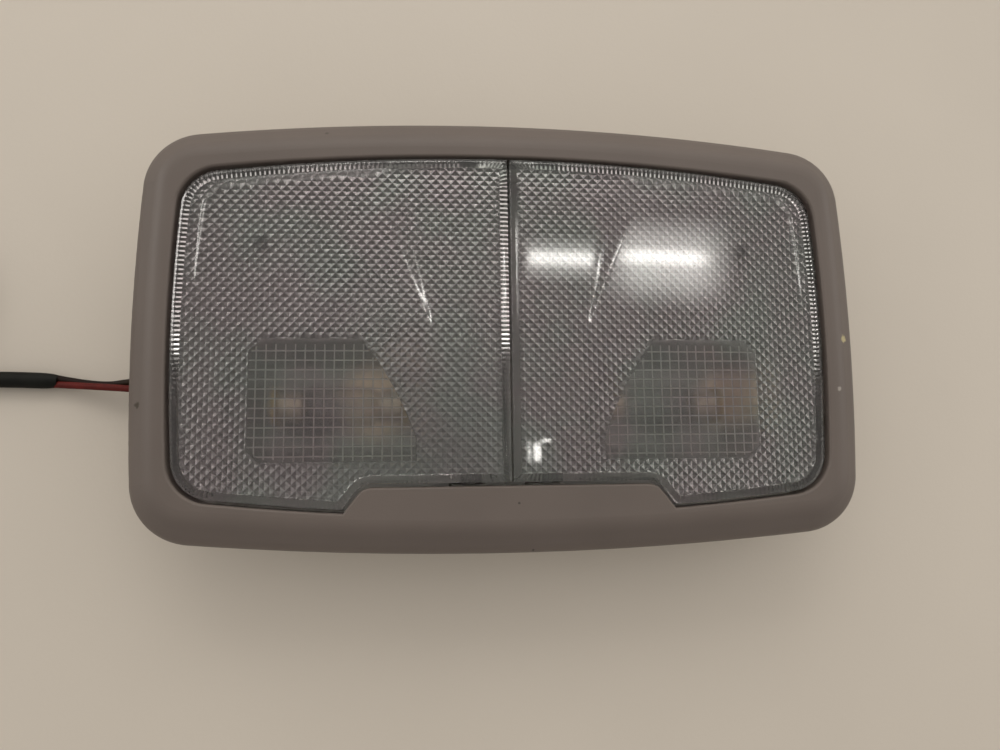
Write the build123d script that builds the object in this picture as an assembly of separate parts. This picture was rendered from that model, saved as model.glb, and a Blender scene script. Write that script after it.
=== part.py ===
from build123d import *
import math
import os

# Car dome light with two push-lenses, in millimetres.
# The light lies on its back: +Z points out of the lenses, +Y to the edge without the tab.

# Bezel, seen from the front
BEZEL_WIDTH = 175.2
BEZEL_HEIGHT = 105.0
BEZEL_TOP_BOW = 6.0
BEZEL_BOTTOM_BOW = 4.6
BEZEL_SIDE_BOW = 2.1
BEZEL_CORNER = 14.5
TOP_BORDER = 10.4
SIDE_BORDER = 9.5
BOTTOM_BORDER = 8.9
OPENING_TOP_BOW = 5.3
OPENING_BOTTOM_BOW = 4.8
OPENING_SIDE_BOW = 1.8
OPENING_CORNER = 10.0
TAB_RISE = 6.9
TAB_TOP_HALF = 34.0
TAB_RAMP = 5.3
TAB_CORNER = 4.0

# Levels above the housing's back
SEAT_Z = 25.0
LIP_DEPTH = 1.0
BEZEL_DEPTH = 8.0
STEP_Z = 14.0

# Bezel section
BEZEL_WALL = 2.2
BEZEL_SLOPE_WIDTH = 6.0
BEZEL_SLOPE_DROP = 4.5
BEZEL_EDGE_ROUND = 5.0
BEZEL_FACE_ROUND = 6.0
OPENING_ROUND = 0.6
SKIRT_WALL = 1.6
BOSS_RADIUS = 3.2
SCREW_END_INSET = 18.1
SCREW_RADIUS = 1.45
SCREW_CLEARANCE = 0.05
SCREW_BITE = 3.6
SCREW_HEAD_RADIUS = 2.2
SCREW_HEAD_HEIGHT = 1.8
SCREW_HEAD_RIM = 0.7
SCREW_HEAD_TOP_RADIUS = 1.5
SCREW_TIP_RADIUS = 0.45
LEVEL_TOLERANCE = 0.01

# Lenses
LENS_GAP = 0.8
SEAM_GAP = 0.6
LENS_WALL = 2.0
LENS_CROWN_RISE = 0.6
LENS_CROWN_RADIUS = 2500.0
LENS_SKIRT_DEPTH = 5.5
LENS_SKIRT_WALL = 1.8
PAD_RISE = 0.9
PAD_FOOT_Y = -1.0
PAD_TOP_INSET = 3.3
PAD_END_INSET = 6.6
PAD_CORNER = 5.5
PAD_CREASE_FOOT_X = 17.1
PAD_CREASE_TOP_X = 27.0
PAD_CREASE_RUN = 5.6
WINDOW_LEFT_X = 22.0
WINDOW_END_INSET = 17.8
WINDOW_TOP_Y = -2.4
WINDOW_BOTTOM_INSET = 12.6
WINDOW_SLANT = 12.6
WINDOW_FOOT = 5.4
WINDOW_SLANT_BOW = 1.1
WINDOW_CHAMFER = 3.0
WINDOW_DEPTH = 0.4

# Lens hinge, hook and switch post
HINGE_X = 9.5
HINGE_Z = 21.0
HINGE_PIN_RADIUS = 1.5
RUNNING_CLEARANCE = 0.05
LUG_WIDTH = 7.0
LUG_THICKNESS = 2.0
LUG_GAP = 0.5
BEARING_THICKNESS = 3.0
BEARING_WIDTH = 8.0
BEARING_WALL = 2.0
HOOK_WIDTH = 10.0
HOOK_REACH = 1.6
HOOK_HEIGHT = 1.6
HOOK_GAP = 0.2
PRESS_ANGLE = 3.0
SWITCH_END_INSET = 20.1
SWITCH_TOP_INSET = 22.1
POST_RADIUS = 1.6
POST_GAP = 0.15

# Housing
HOUSING_CLEARANCE = 0.2
HOUSING_WALL = 2.0
FLOOR = 2.0
LEDGE_WIDTH = 4.2
DRAFT_ANGLE = 12.0
EAR_THICKNESS = 2.2
EAR_RADIUS = 2.2
PARTITION_WALL = 1.6
PARTITION_GAP = 0.4
ROOF_SCREW_TO_SWITCH_X = 20.0
ROOF_SCREW_TO_SWITCH_Y = 7.0
ROOF_HOLE_RADIUS = 2.25
ROOF_BOSS_RADIUS = 5.0
ROOF_BOSS_HEIGHT = 8.0
GUSSET_WALL = 1.6
GUSSET_PITCH = 22.0

# Reflectors
REFLECTOR_WALL = 1.2
REFLECTOR_GAP = 0.25
BOWL_LENGTH = 50.0
BOWL_WIDTH = 32.0
BOWL_CORNER = 8.0
BOWL_DRAFT = 25.0
BOWL_FLOOR_Z = 4.0
BOWL_WALL = 1.0
PASSAGE = 1.0

# Festoon bulbs
BULB_END_INSET = 37.1
BULB_BOTTOM_INSET = 27.1
BULB_Z = 10.0
BULB_LENGTH = 36.0
GLASS_LENGTH = 15.0
GLASS_RADIUS = 5.0
GLASS_WALL = 0.5
GLASS_SHOULDER = 2.0
NECK_RADIUS = 3.4
NECK_LENGTH = 1.7
CAP_RADIUS = 4.0
CAP_TIP_RADIUS = 1.6
CAP_TIP_LENGTH = 3.0
CAP_CLEARANCE = 0.1
FILAMENT_LENGTH = 8.0
FILAMENT_RADIUS = 0.5
FILAMENT_LEAD_RADIUS = 0.2

# Brass strips
STRIP_THICKNESS = 0.5
STRIP_WIDTH = 2.6
LEAF_WIDTH = 9.0
LEAF_RISE = 5.0
LEAF_SEAT = 1.0
LEAF_CLEARANCE = 0.03
TAB_WIDTH = 2.4
FEED_LANE_TO_BULB = 10.5
EARTH_LANE_TO_SWITCH = 3.0
WALL_LANE_INSET = 9.9
EARTH_BEND_DROP = 4.0
EARTH_BEND_RUN = 3.7

# Switches
SWITCH_LENGTH = 12.0
SWITCH_WIDTH = 10.0
SWITCH_HEIGHT = 11.0
SWITCH_CORNER = 0.8
PLUNGER_RADIUS = 2.0
PLUNGER_FLANGE_RADIUS = 3.0
PLUNGER_FLANGE_HEIGHT = 1.5
PLUNGER_GUIDE = 2.5
PLUNGER_TRAVEL_ROOM = 3.6
PLUNGER_TIP_ROUND = 0.5

# Lead
WIRE_RADIUS = 0.875
WIRE_SPACING = 3.0
CABLE_Y = -11.1
CABLE_Z = 8.0
GLAND_WIDTH = 12.0
GLAND_HEIGHT = 9.0
GLAND_REACH = 5.5
GROMMET_WIDTH = 8.0
GROMMET_HEIGHT = 5.0
GROMMET_CORNER = 2.0
GROMMET_FIT = 0.05
GROMMET_FLANGE = 1.5
GROMMET_LIP = 1.4
GROMMET_NOSE = 4.0
GROMMET_TAPER = 8.0
BEND_SHARE = 0.45
SHEATH_RADIUS = 2.05
TIE_WALL = 0.8
TIE_WIDTH = 3.0
COIL_RADIUS = 22.5
COIL_REACH = 77.4
COIL_Y = 13.6
COIL_ROUNDING = 0.98
TIE_ANGLE = 225.0
CONNECTOR_LENGTH = 15.0
CONNECTOR_WIDTH = 10.0
CONNECTOR_HEIGHT = 7.0
CONNECTOR_GAP = 0.25
BOOT_LENGTH = 4.0
BOOT_WIDTH = 7.6
BOOT_HEIGHT = 5.8
BOOT_CORNER = 1.5
BOOT_TAPER = 10.0
LATCH_RISE = 1.2
LATCH_WIDTH = 3.4
LATCH_LENGTH = 10.5
LATCH_LEAD_IN = 4.5
LATCH_BACK_RUN = 1.5
TERMINAL_HOLE = 2.2
TERMINAL_DEPTH = 6.0
TERMINAL_PITCH = 4.6

# Places that follow from the sizes
RIM_Z = SEAT_Z - LIP_DEPTH
FACE_Z = RIM_Z + BEZEL_DEPTH
OPENING_HALF = BEZEL_WIDTH / 2 - SIDE_BORDER
OPENING_TOP = BEZEL_HEIGHT / 2 - TOP_BORDER
OPENING_BOTTOM = -BEZEL_HEIGHT / 2 + BOTTOM_BORDER
TAB_TOP_Y = OPENING_BOTTOM + TAB_RISE
LENS_RIM_Z = FACE_Z - LENS_CROWN_RISE
LENS_TOP_Z = FACE_Z + LENS_CROWN_RISE
LEDGE_OUTSET = HOUSING_CLEARANCE - LEDGE_WIDTH
SCREW_X = OPENING_HALF - SCREW_END_INSET
PAD_TOP_Y = OPENING_TOP - PAD_TOP_INSET
PAD_SIDE_X = OPENING_HALF - PAD_END_INSET
WINDOW_RIGHT_X = OPENING_HALF - WINDOW_END_INSET
WINDOW_BOTTOM_Y = OPENING_BOTTOM + WINDOW_BOTTOM_INSET
SWITCH_X = OPENING_HALF - SWITCH_END_INSET
SWITCH_Y = OPENING_TOP - SWITCH_TOP_INSET
ROOF_SCREW_X = SWITCH_X - ROOF_SCREW_TO_SWITCH_X
ROOF_SCREW_Y = SWITCH_Y - ROOF_SCREW_TO_SWITCH_Y
BULB_X = OPENING_HALF - BULB_END_INSET
BULB_Y = OPENING_BOTTOM + BULB_BOTTOM_INSET
FEED_LANE_Y = BULB_Y - FEED_LANE_TO_BULB
EARTH_LANE_Y = SWITCH_Y + SWITCH_WIDTH / 2 + EARTH_LANE_TO_SWITCH
WALL_LANE_X = WALL_LANE_INSET - OPENING_HALF
EARTH_BEND_X = WALL_LANE_X + EARTH_BEND_RUN
EARTH_BEND_Y = EARTH_LANE_Y - EARTH_BEND_DROP
REFLECTOR_TOP_Z = STEP_Z + REFLECTOR_WALL
EAR_Z = SEAT_Z - EAR_THICKNESS
POST_TIP_Z = HINGE_Z
STRIP_Z = FLOOR + STRIP_THICKNESS
GLAND_FACE_X = -(OPENING_HALF + LEDGE_OUTSET + HOUSING_WALL + GLAND_REACH)
WIRE_START_X = WALL_LANE_X - STRIP_THICKNESS / 2
RED_Y = CABLE_Y - WIRE_SPACING / 2
BLACK_Y = CABLE_Y + WIRE_SPACING / 2
COIL_CENTRE = (GLAND_FACE_X - COIL_REACH, COIL_Y)
COIL_Z = TIE_WALL + SHEATH_RADIUS
COIL_LIFT = 2 * SHEATH_RADIUS


def at_height(z):
    return Plane(origin=(0, 0, z))


def block(x0, x1, y0, y1, z0, z1):
    """A box between its two corners."""
    size = Box(abs(x1 - x0), abs(y1 - y0), abs(z1 - z0))
    return Pos((x0 + x1) / 2, (y0 + y1) / 2, (z0 + z1) / 2) * size


def post(x, y, z0, z1, radius):
    """An upright round pin between two heights."""
    return Pos(x, y, (z0 + z1) / 2) * Cylinder(radius, z1 - z0)


def pin_along_y(x, y0, y1, z, radius):
    """A round pin that lies along Y."""
    return Pos(x, (y0 + y1) / 2, z) * Rot(90, 0, 0) * Cylinder(radius, y1 - y0)


def turned_along_x(points):
    """A solid turned about the X axis from its half section."""
    section = make_face(Polyline(*points, close=True))
    return revolve(section, Axis.X)


def mirrored(solid):
    return mirror(solid, about=Plane.YZ)


def bowed_outline(half_width, top, bottom, top_bow, bottom_bow, side_bow, corner):
    """A rectangle with four bowed sides and round corners."""
    corner_x = half_width - side_bow
    upper = top - top_bow
    lower = bottom + bottom_bow
    middle = (upper + lower) / 2
    sides = [
        ThreePointArc((-corner_x, upper), (0, top), (corner_x, upper)),
        ThreePointArc((corner_x, upper), (half_width, middle), (corner_x, lower)),
        ThreePointArc((corner_x, lower), (0, bottom), (-corner_x, lower)),
        ThreePointArc((-corner_x, lower), (-half_width, middle), (-corner_x, upper)),
    ]
    sketch = make_face(sides)
    return fillet(sketch.vertices(), corner)


def bezel_outline(inset=0.0):
    return bowed_outline(
        BEZEL_WIDTH / 2 - inset,
        BEZEL_HEIGHT / 2 - inset,
        -BEZEL_HEIGHT / 2 + inset,
        BEZEL_TOP_BOW,
        BEZEL_BOTTOM_BOW,
        BEZEL_SIDE_BOW,
        BEZEL_CORNER - inset,
    )


def opening_outline(outset=0.0):
    """The bezel's opening as if it had no tab."""
    return bowed_outline(
        OPENING_HALF + outset,
        OPENING_TOP + outset,
        OPENING_BOTTOM - outset,
        OPENING_TOP_BOW,
        OPENING_BOTTOM_BOW,
        OPENING_SIDE_BOW,
        OPENING_CORNER + outset,
    )


def tab_outline(outset=0.0):
    """The tab that stands up from the lower border, drawn well past the border."""
    slope = TAB_RAMP / TAB_RISE
    foot_y = OPENING_BOTTOM - BOTTOM_BORDER
    foot_half = TAB_TOP_HALF + slope * (TAB_TOP_Y - foot_y)
    side_shift = outset * math.hypot(1, slope)
    top_half = TAB_TOP_HALF + side_shift - slope * outset
    sketch = Polygon(
        (-foot_half - side_shift, foot_y),
        (foot_half + side_shift, foot_y),
        (top_half, TAB_TOP_Y + outset),
        (-top_half, TAB_TOP_Y + outset),
        align=None,
    )
    tops = sketch.vertices().sort_by(Axis.Y)[-2:]
    return fillet(tops, TAB_CORNER + outset)


def tabbed_opening(outset=0.0):
    return opening_outline(outset) - tab_outline(-outset)


def upright(sketch, z0, z1):
    """A sketch drawn up between two heights."""
    return extrude(at_height(z0) * sketch, amount=z1 - z0)


def opening_edge_y(x, top):
    """Y of the opening's top or bottom edge at a given X."""
    corner_x = OPENING_HALF - OPENING_SIDE_BOW
    if top:
        return OPENING_TOP - OPENING_TOP_BOW * (x / corner_x) ** 2
    return OPENING_BOTTOM + OPENING_BOTTOM_BOW * (x / corner_x) ** 2


def bezel_edge_y(x, top):
    """Y of the bezel's top or bottom edge at a given X."""
    corner_x = BEZEL_WIDTH / 2 - BEZEL_SIDE_BOW
    if top:
        return BEZEL_HEIGHT / 2 - BEZEL_TOP_BOW * (x / corner_x) ** 2
    return -BEZEL_HEIGHT / 2 + BEZEL_BOTTOM_BOW * (x / corner_x) ** 2


def screw_places():
    """Middle of the gap between the housing's wall and the bezel's at the four housing screws."""
    places = []
    for top in (True, False):
        way = 1 if top else -1
        inner = opening_edge_y(SCREW_X, top) + way * (HOUSING_CLEARANCE + HOUSING_WALL)
        outer = bezel_edge_y(SCREW_X, top) - way * BEZEL_WALL
        for side in (-1, 1):
            places.append((side * SCREW_X, (inner + outer) / 2))
    return places


def bezel_form(inset, base_z, top_z):
    """The bezel's outer form: an upright lip, a slope and a flat face, all rounded together."""
    solid = upright(bezel_outline(inset), base_z, top_z)
    face = solid.faces().sort_by(Axis.Z)[-1]
    solid = chamfer(face.edges(), BEZEL_SLOPE_WIDTH, BEZEL_SLOPE_DROP, reference=face)
    upper = solid.edges().group_by(Axis.Z)[-1]
    solid = fillet(upper, BEZEL_FACE_ROUND)
    lip_z = top_z - BEZEL_SLOPE_DROP
    lower = solid.edges().filter_by_position(
        Axis.Z, lip_z - LEVEL_TOLERANCE, lip_z + LEVEL_TOLERANCE
    )
    return fillet(lower, BEZEL_EDGE_ROUND - inset)


def opening_rim(shell):
    """The edges where the opening meets the bezel's face."""
    near = opening_outline(OPENING_ROUND).face()
    face_edges = shell.edges().group_by(Axis.Z)[-1]
    return [e for e in face_edges if near.is_inside((e.center().X, e.center().Y, 0))]


def make_bezel():
    form = bezel_form(0.0, RIM_Z, FACE_Z)
    shell = form - bezel_form(BEZEL_WALL, RIM_Z - BEZEL_EDGE_ROUND, FACE_Z - BEZEL_WALL)
    skirt = upright(tabbed_opening(SKIRT_WALL), SEAT_Z, FACE_Z) & form
    bosses = [post(x, y, SEAT_Z, FACE_Z, BOSS_RADIUS) & form for x, y in screw_places()]
    shell = shell + skirt + bosses
    shell -= upright(tabbed_opening(), RIM_Z, FACE_Z + LENS_WALL)
    shell = fillet(opening_rim(shell), OPENING_ROUND)
    bore = SCREW_RADIUS + SCREW_CLEARANCE
    pilots = [post(x, y, SEAT_Z, SEAT_Z + SCREW_BITE, bore) for x, y in screw_places()]
    return shell - pilots


def make_housing_screws():
    length = EAR_THICKNESS + SCREW_BITE - SCREW_CLEARANCE
    section = make_face(
        Polyline(
            (0, -SCREW_HEAD_HEIGHT),
            (SCREW_HEAD_TOP_RADIUS, -SCREW_HEAD_HEIGHT),
            (SCREW_HEAD_RADIUS, -SCREW_HEAD_RIM),
            (SCREW_HEAD_RADIUS, 0),
            (SCREW_RADIUS, 0),
            (SCREW_RADIUS, length - SCREW_RADIUS),
            (SCREW_TIP_RADIUS, length),
            (0, length),
            close=True,
        )
    )
    screw = revolve(Plane.XZ * section, Axis.Z)
    return [Pos(x, y, EAR_Z) * screw for x, y in screw_places()]


def lens_edge_outline(outset=0.0):
    """The right lens's outline, from the seam to the bezel's opening."""
    seam = SEAM_GAP / 2 - outset
    reach = BEZEL_WIDTH
    right_half = Pos(seam + reach / 2, 0) * Rectangle(reach, 2 * BEZEL_HEIGHT)
    return tabbed_opening(outset - LENS_GAP) & right_half


def crown(drop, top_z):
    """A block under the lenses' gently bowed face."""
    axis_z = top_z - drop - LENS_CROWN_RADIUS
    disc = Rot(90, 0, 0) * Cylinder(LENS_CROWN_RADIUS, 2 * BEZEL_HEIGHT)
    room = block(-BEZEL_WIDTH, BEZEL_WIDTH, -BEZEL_HEIGHT, BEZEL_HEIGHT, 0, 2 * top_z)
    return (Pos(0, 0, axis_z) * disc) & room


def pad_outline():
    """The two press pads' outer edges, as if they met below."""
    return bowed_outline(
        PAD_SIDE_X,
        PAD_TOP_Y,
        OPENING_BOTTOM,
        OPENING_TOP_BOW,
        OPENING_BOTTOM_BOW,
        OPENING_SIDE_BOW,
        PAD_CORNER,
    )


def crown_z(x):
    """Height of the lenses' bowed face at a given X."""
    return LENS_TOP_Z - x**2 / (2 * LENS_CROWN_RADIUS)


def pad_wedge(drop):
    """The right press pad: the bowed face tilted up from its foot, with a facet towards the seam."""
    foot = Vector(0, PAD_FOOT_Y, LENS_TOP_Z - drop)
    tilt = math.degrees(math.atan2(PAD_RISE, PAD_TOP_Y - PAD_FOOT_Y))
    raised = Pos(foot) * Rot(tilt, 0, 0) * Pos(-foot) * crown(drop, LENS_TOP_Z)
    base_z = LENS_RIM_Z - LENS_WALL - drop
    room = block(0, PAD_SIDE_X, PAD_FOOT_Y, PAD_TOP_Y, base_z, 2 * LENS_TOP_Z)
    base_x = PAD_CREASE_TOP_X
    edge_x = PAD_CREASE_TOP_X + PAD_CREASE_RUN
    crease_foot = Vector(PAD_CREASE_FOOT_X, PAD_FOOT_Y, crown_z(PAD_CREASE_FOOT_X) - drop)
    crease_base = Vector(base_x, PAD_TOP_Y, crown_z(base_x) - drop)
    crease_edge = Vector(edge_x, PAD_TOP_Y, crown_z(edge_x) - drop + PAD_RISE)
    facet_normal = (crease_base - crease_foot).cross(crease_edge - crease_foot)
    facet = Plane(origin=crease_foot, z_dir=facet_normal)
    keep = Keep.BOTTOM if facet_normal.X < 0 else Keep.TOP
    return split(raised & room, bisect_by=facet, keep=keep)


def lens_form(drop, outset):
    """All that lies under the right lens's face, moved down and in for the inner form."""
    floor_z = LENS_RIM_Z - LENS_SKIRT_DEPTH
    outline = lens_edge_outline(outset)
    plate = upright(outline, floor_z, LENS_TOP_Z) & crown(drop, LENS_TOP_Z)
    pad = pad_wedge(drop) & upright(outline & pad_outline(), floor_z, 2 * LENS_TOP_Z)
    return plate + pad


def window_outline():
    """The right lens's gridded window, with its slanted side to the seam."""
    foot_y = WINDOW_BOTTOM_Y + WINDOW_FOOT
    start = Vector(WINDOW_LEFT_X, foot_y)
    end = Vector(WINDOW_LEFT_X + WINDOW_SLANT, WINDOW_TOP_Y)
    across = (end - start).normalized().rotate(Axis.Z, 90)
    slanted = ThreePointArc(start, (start + end) / 2 + across * WINDOW_SLANT_BOW, end)
    rest = Polyline(
        (WINDOW_LEFT_X + WINDOW_SLANT, WINDOW_TOP_Y),
        (WINDOW_RIGHT_X - WINDOW_CHAMFER, WINDOW_TOP_Y),
        (WINDOW_RIGHT_X, WINDOW_TOP_Y - WINDOW_CHAMFER),
        (WINDOW_RIGHT_X, WINDOW_BOTTOM_Y + WINDOW_CHAMFER),
        (WINDOW_RIGHT_X - WINDOW_CHAMFER, WINDOW_BOTTOM_Y),
        (WINDOW_LEFT_X, WINDOW_BOTTOM_Y),
        (WINDOW_LEFT_X, foot_y),
    )
    return make_face([slanted, *rest.edges()])


def hinge_edges():
    """Y of the lens's top and bottom edges at the hinge."""
    upper = opening_edge_y(HINGE_X, True) - LENS_GAP
    return upper, TAB_TOP_Y + LENS_GAP


def make_lens():
    """The right push-lens: crowned face, press pad, skirt, hinge lugs, hook and switch post."""
    outer = lens_form(0.0, 0.0)
    lens = outer - lens_form(LENS_WALL, -LENS_SKIRT_WALL)
    window_z = LENS_RIM_Z - LENS_WALL
    lens -= upright(window_outline(), window_z - LENS_WALL, window_z + WINDOW_DEPTH) & crown(
        LENS_WALL - WINDOW_DEPTH, LENS_TOP_Z
    )
    upper, lower = hinge_edges()
    lug_z = HINGE_Z - LUG_WIDTH / 2
    lug_x0 = HINGE_X - LUG_WIDTH / 2
    lug_x1 = HINGE_X + LUG_WIDTH / 2
    lug_room = upright(lens_edge_outline(), lug_z, LENS_TOP_Z) & crown(0.0, LENS_TOP_Z)
    lug_top = block(lug_x0, lug_x1, upper - LUG_THICKNESS, upper + LENS_GAP, lug_z, LENS_RIM_Z)
    lug_bottom = block(lug_x0, lug_x1, lower - LENS_GAP, lower + LUG_THICKNESS, lug_z, LENS_RIM_Z)
    lens += (lug_top + lug_bottom) & lug_room
    inset = LUG_THICKNESS / 2
    reach = LUG_GAP + BEARING_THICKNESS
    lens += pin_along_y(HINGE_X, upper - inset, upper + reach, HINGE_Z, HINGE_PIN_RADIUS)
    lens += pin_along_y(HINGE_X, lower - reach, lower + inset, HINGE_Z, HINGE_PIN_RADIUS)
    hook_x = OPENING_HALF - LENS_GAP
    hook_top = SEAT_Z - HOOK_GAP
    arm = block(
        hook_x - LENS_SKIRT_WALL,
        hook_x,
        -HOOK_WIDTH / 2,
        HOOK_WIDTH / 2,
        hook_top - HOOK_HEIGHT,
        LENS_RIM_Z - LENS_WALL,
    )
    barb = block(
        hook_x - LENS_SKIRT_WALL,
        hook_x + LENS_GAP + HOOK_REACH,
        -HOOK_WIDTH / 2,
        HOOK_WIDTH / 2,
        hook_top - HOOK_HEIGHT,
        hook_top,
    )
    lens += arm + barb
    stem = post(SWITCH_X, SWITCH_Y, POST_TIP_Z, LENS_TOP_Z + PAD_RISE, POST_RADIUS)
    lens += stem & outer_above(POST_TIP_Z, outer)
    return lens


def outer_above(z, outer):
    """The room under the lens's outer face, drawn down to a given height."""
    return outer + upright(lens_edge_outline(), z, LENS_RIM_Z - LENS_SKIRT_DEPTH)


def draft_run(height):
    return height * math.tan(math.radians(DRAFT_ANGLE))


def drafted(outset, z0, z1):
    """The opening's outline drawn up between two heights, widening with the draft to its outset."""
    foot = at_height(z0) * opening_outline(outset - draft_run(z1 - z0))
    rim = at_height(z1) * opening_outline(outset)
    return loft([foot, rim], ruled=True)


def make_housing():
    outer_wall = HOUSING_CLEARANCE + HOUSING_WALL
    ledge_z = STEP_Z - HOUSING_WALL
    upper = upright(opening_outline(outer_wall), ledge_z, SEAT_Z)
    lower = drafted(LEDGE_OUTSET + HOUSING_WALL, 0, STEP_Z)
    tub = upper + lower + gland_boss() + gussets()
    tub -= upright(opening_outline(HOUSING_CLEARANCE), STEP_Z, SEAT_Z)
    tub -= tub_room()
    tub += [partition()] + hinge_bearings() + roof_posts(FLOOR / 2, ROOF_BOSS_RADIUS) + screw_ears()
    tub -= hinge_bores()
    tub -= hook_windows()
    tub -= strip_slots()
    tub -= gland_hole()
    return tub - roof_posts(0, ROOF_HOLE_RADIUS)


def tub_room():
    """The space in the lower tub, from the floor to the ledge."""
    return drafted(LEDGE_OUTSET, FLOOR, STEP_Z)


def partition():
    """The wall between the two lamps, inside the lower tub."""
    wall = block(
        -PARTITION_WALL / 2,
        PARTITION_WALL / 2,
        -BEZEL_HEIGHT,
        BEZEL_HEIGHT,
        FLOOR,
        STEP_Z - PARTITION_GAP,
    )
    return wall & tub_room()


def bearing_y():
    """Y of the two bearings' faces that look at the lens."""
    upper, lower = hinge_edges()
    return upper + LUG_GAP, lower - LUG_GAP


def hinge_bearings():
    """Bosses on the top wall and posts below the tab that carry the lens pins."""
    upper, lower = bearing_y()
    crown_z = HINGE_Z + HINGE_PIN_RADIUS + BEARING_WALL
    solids = []
    for side in (-1, 1):
        x = side * HINGE_X
        boss = pin_along_y(
            x, upper, upper + BEARING_THICKNESS, HINGE_Z, HINGE_PIN_RADIUS + BEARING_WALL
        )
        x0 = x - BEARING_WIDTH / 2
        x1 = x + BEARING_WIDTH / 2
        y0 = lower - BEARING_THICKNESS
        solids += [boss, block(x0, x1, y0, lower, FLOOR / 2, crown_z)]
    return solids


def hinge_bores():
    upper, lower = bearing_y()
    radius = HINGE_PIN_RADIUS + RUNNING_CLEARANCE
    solids = []
    for side in (-1, 1):
        x = side * HINGE_X
        y0 = upper - HOUSING_WALL
        y1 = upper + BEARING_THICKNESS + HOUSING_WALL
        solids.append(pin_along_y(x, y0, y1, HINGE_Z, radius))
        solids.append(pin_along_y(x, lower - BEARING_THICKNESS, lower, HINGE_Z, radius))
    return solids


def hook_windows():
    """Windows in the end walls where the lens hooks hold and travel."""
    drop = (OPENING_HALF - HINGE_X) * math.sin(math.radians(PRESS_ANGLE))
    bottom = SEAT_Z - HOOK_GAP - HOOK_HEIGHT - drop - LUG_GAP
    half = HOOK_WIDTH / 2 + LUG_GAP
    reach = OPENING_HALF + 2 * HOUSING_WALL
    inner = OPENING_HALF - LENS_GAP
    return [block(s * inner, s * reach, -half, half, bottom, SEAT_Z) for s in (-1, 1)]


def roof_posts(base_z, radius):
    """Two round posts at the roof screws, up to the bosses' tops."""
    return [
        post(side * ROOF_SCREW_X, ROOF_SCREW_Y, base_z, ROOF_BOSS_HEIGHT, radius)
        for side in (-1, 1)
    ]


def screw_ears():
    """Ears on the rim that the housing screws pass through."""
    hole = SCREW_RADIUS + 2 * SCREW_CLEARANCE
    ears = []
    for x, y in screw_places():
        root = math.copysign(HOUSING_WALL / 2, y)
        edge = opening_edge_y(SCREW_X, y > 0) + math.copysign(HOUSING_CLEARANCE, y)
        arm = block(x - EAR_RADIUS, x + EAR_RADIUS, edge + root, y, EAR_Z, SEAT_Z)
        ear = arm + post(x, y, EAR_Z, SEAT_Z, EAR_RADIUS)
        ears.append(ear - post(x, y, EAR_Z, SEAT_Z, hole))
    return ears


def gussets():
    """Upright ribs under the ledge, along the tub's long sides."""
    ledge_z = STEP_Z - HOUSING_WALL
    count = int(OPENING_HALF // GUSSET_PITCH)
    band = drafted(HOUSING_CLEARANCE, 0, STEP_Z)
    ribs = []
    for i in range(-count, count + 1):
        x = i * GUSSET_PITCH
        rib = block(
            x - GUSSET_WALL / 2,
            x + GUSSET_WALL / 2,
            -BEZEL_HEIGHT,
            BEZEL_HEIGHT,
            HOUSING_WALL,
            ledge_z,
        )
        ribs.append(rib & band)
    return ribs


def gland_boss():
    """The upright block on the left wall that the grommet sits in."""
    return block(
        GLAND_FACE_X,
        GLAND_FACE_X + GLAND_REACH + LEDGE_WIDTH + HOUSING_WALL,
        CABLE_Y - GLAND_WIDTH / 2,
        CABLE_Y + GLAND_WIDTH / 2,
        CABLE_Z - GLAND_HEIGHT / 2,
        CABLE_Z + GLAND_HEIGHT / 2,
    )


def gland_section(grow):
    plane = Plane(origin=(GLAND_FACE_X, CABLE_Y, CABLE_Z), x_dir=(0, 1, 0), z_dir=(1, 0, 0))
    shape = RectangleRounded(
        GROMMET_WIDTH + 2 * grow, GROMMET_HEIGHT + 2 * grow, GROMMET_CORNER + grow
    )
    return plane * shape


def gland_depth():
    """How far the gland's hole runs in from its face."""
    return GLAND_REACH + LEDGE_WIDTH + HOUSING_WALL


def gland_hole():
    return extrude(gland_section(GROMMET_FIT), amount=gland_depth())


def strip_slots():
    """Notches in the partition that the brass strips pass through."""
    half = STRIP_WIDTH / 2 + GROMMET_FIT + HOUSING_CLEARANCE
    top = STRIP_Z + HOUSING_CLEARANCE
    return [
        block(-PARTITION_WALL, PARTITION_WALL, y - half, y + half, FLOOR, top)
        for y in (BULB_Y, EARTH_LANE_Y)
    ]


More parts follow.
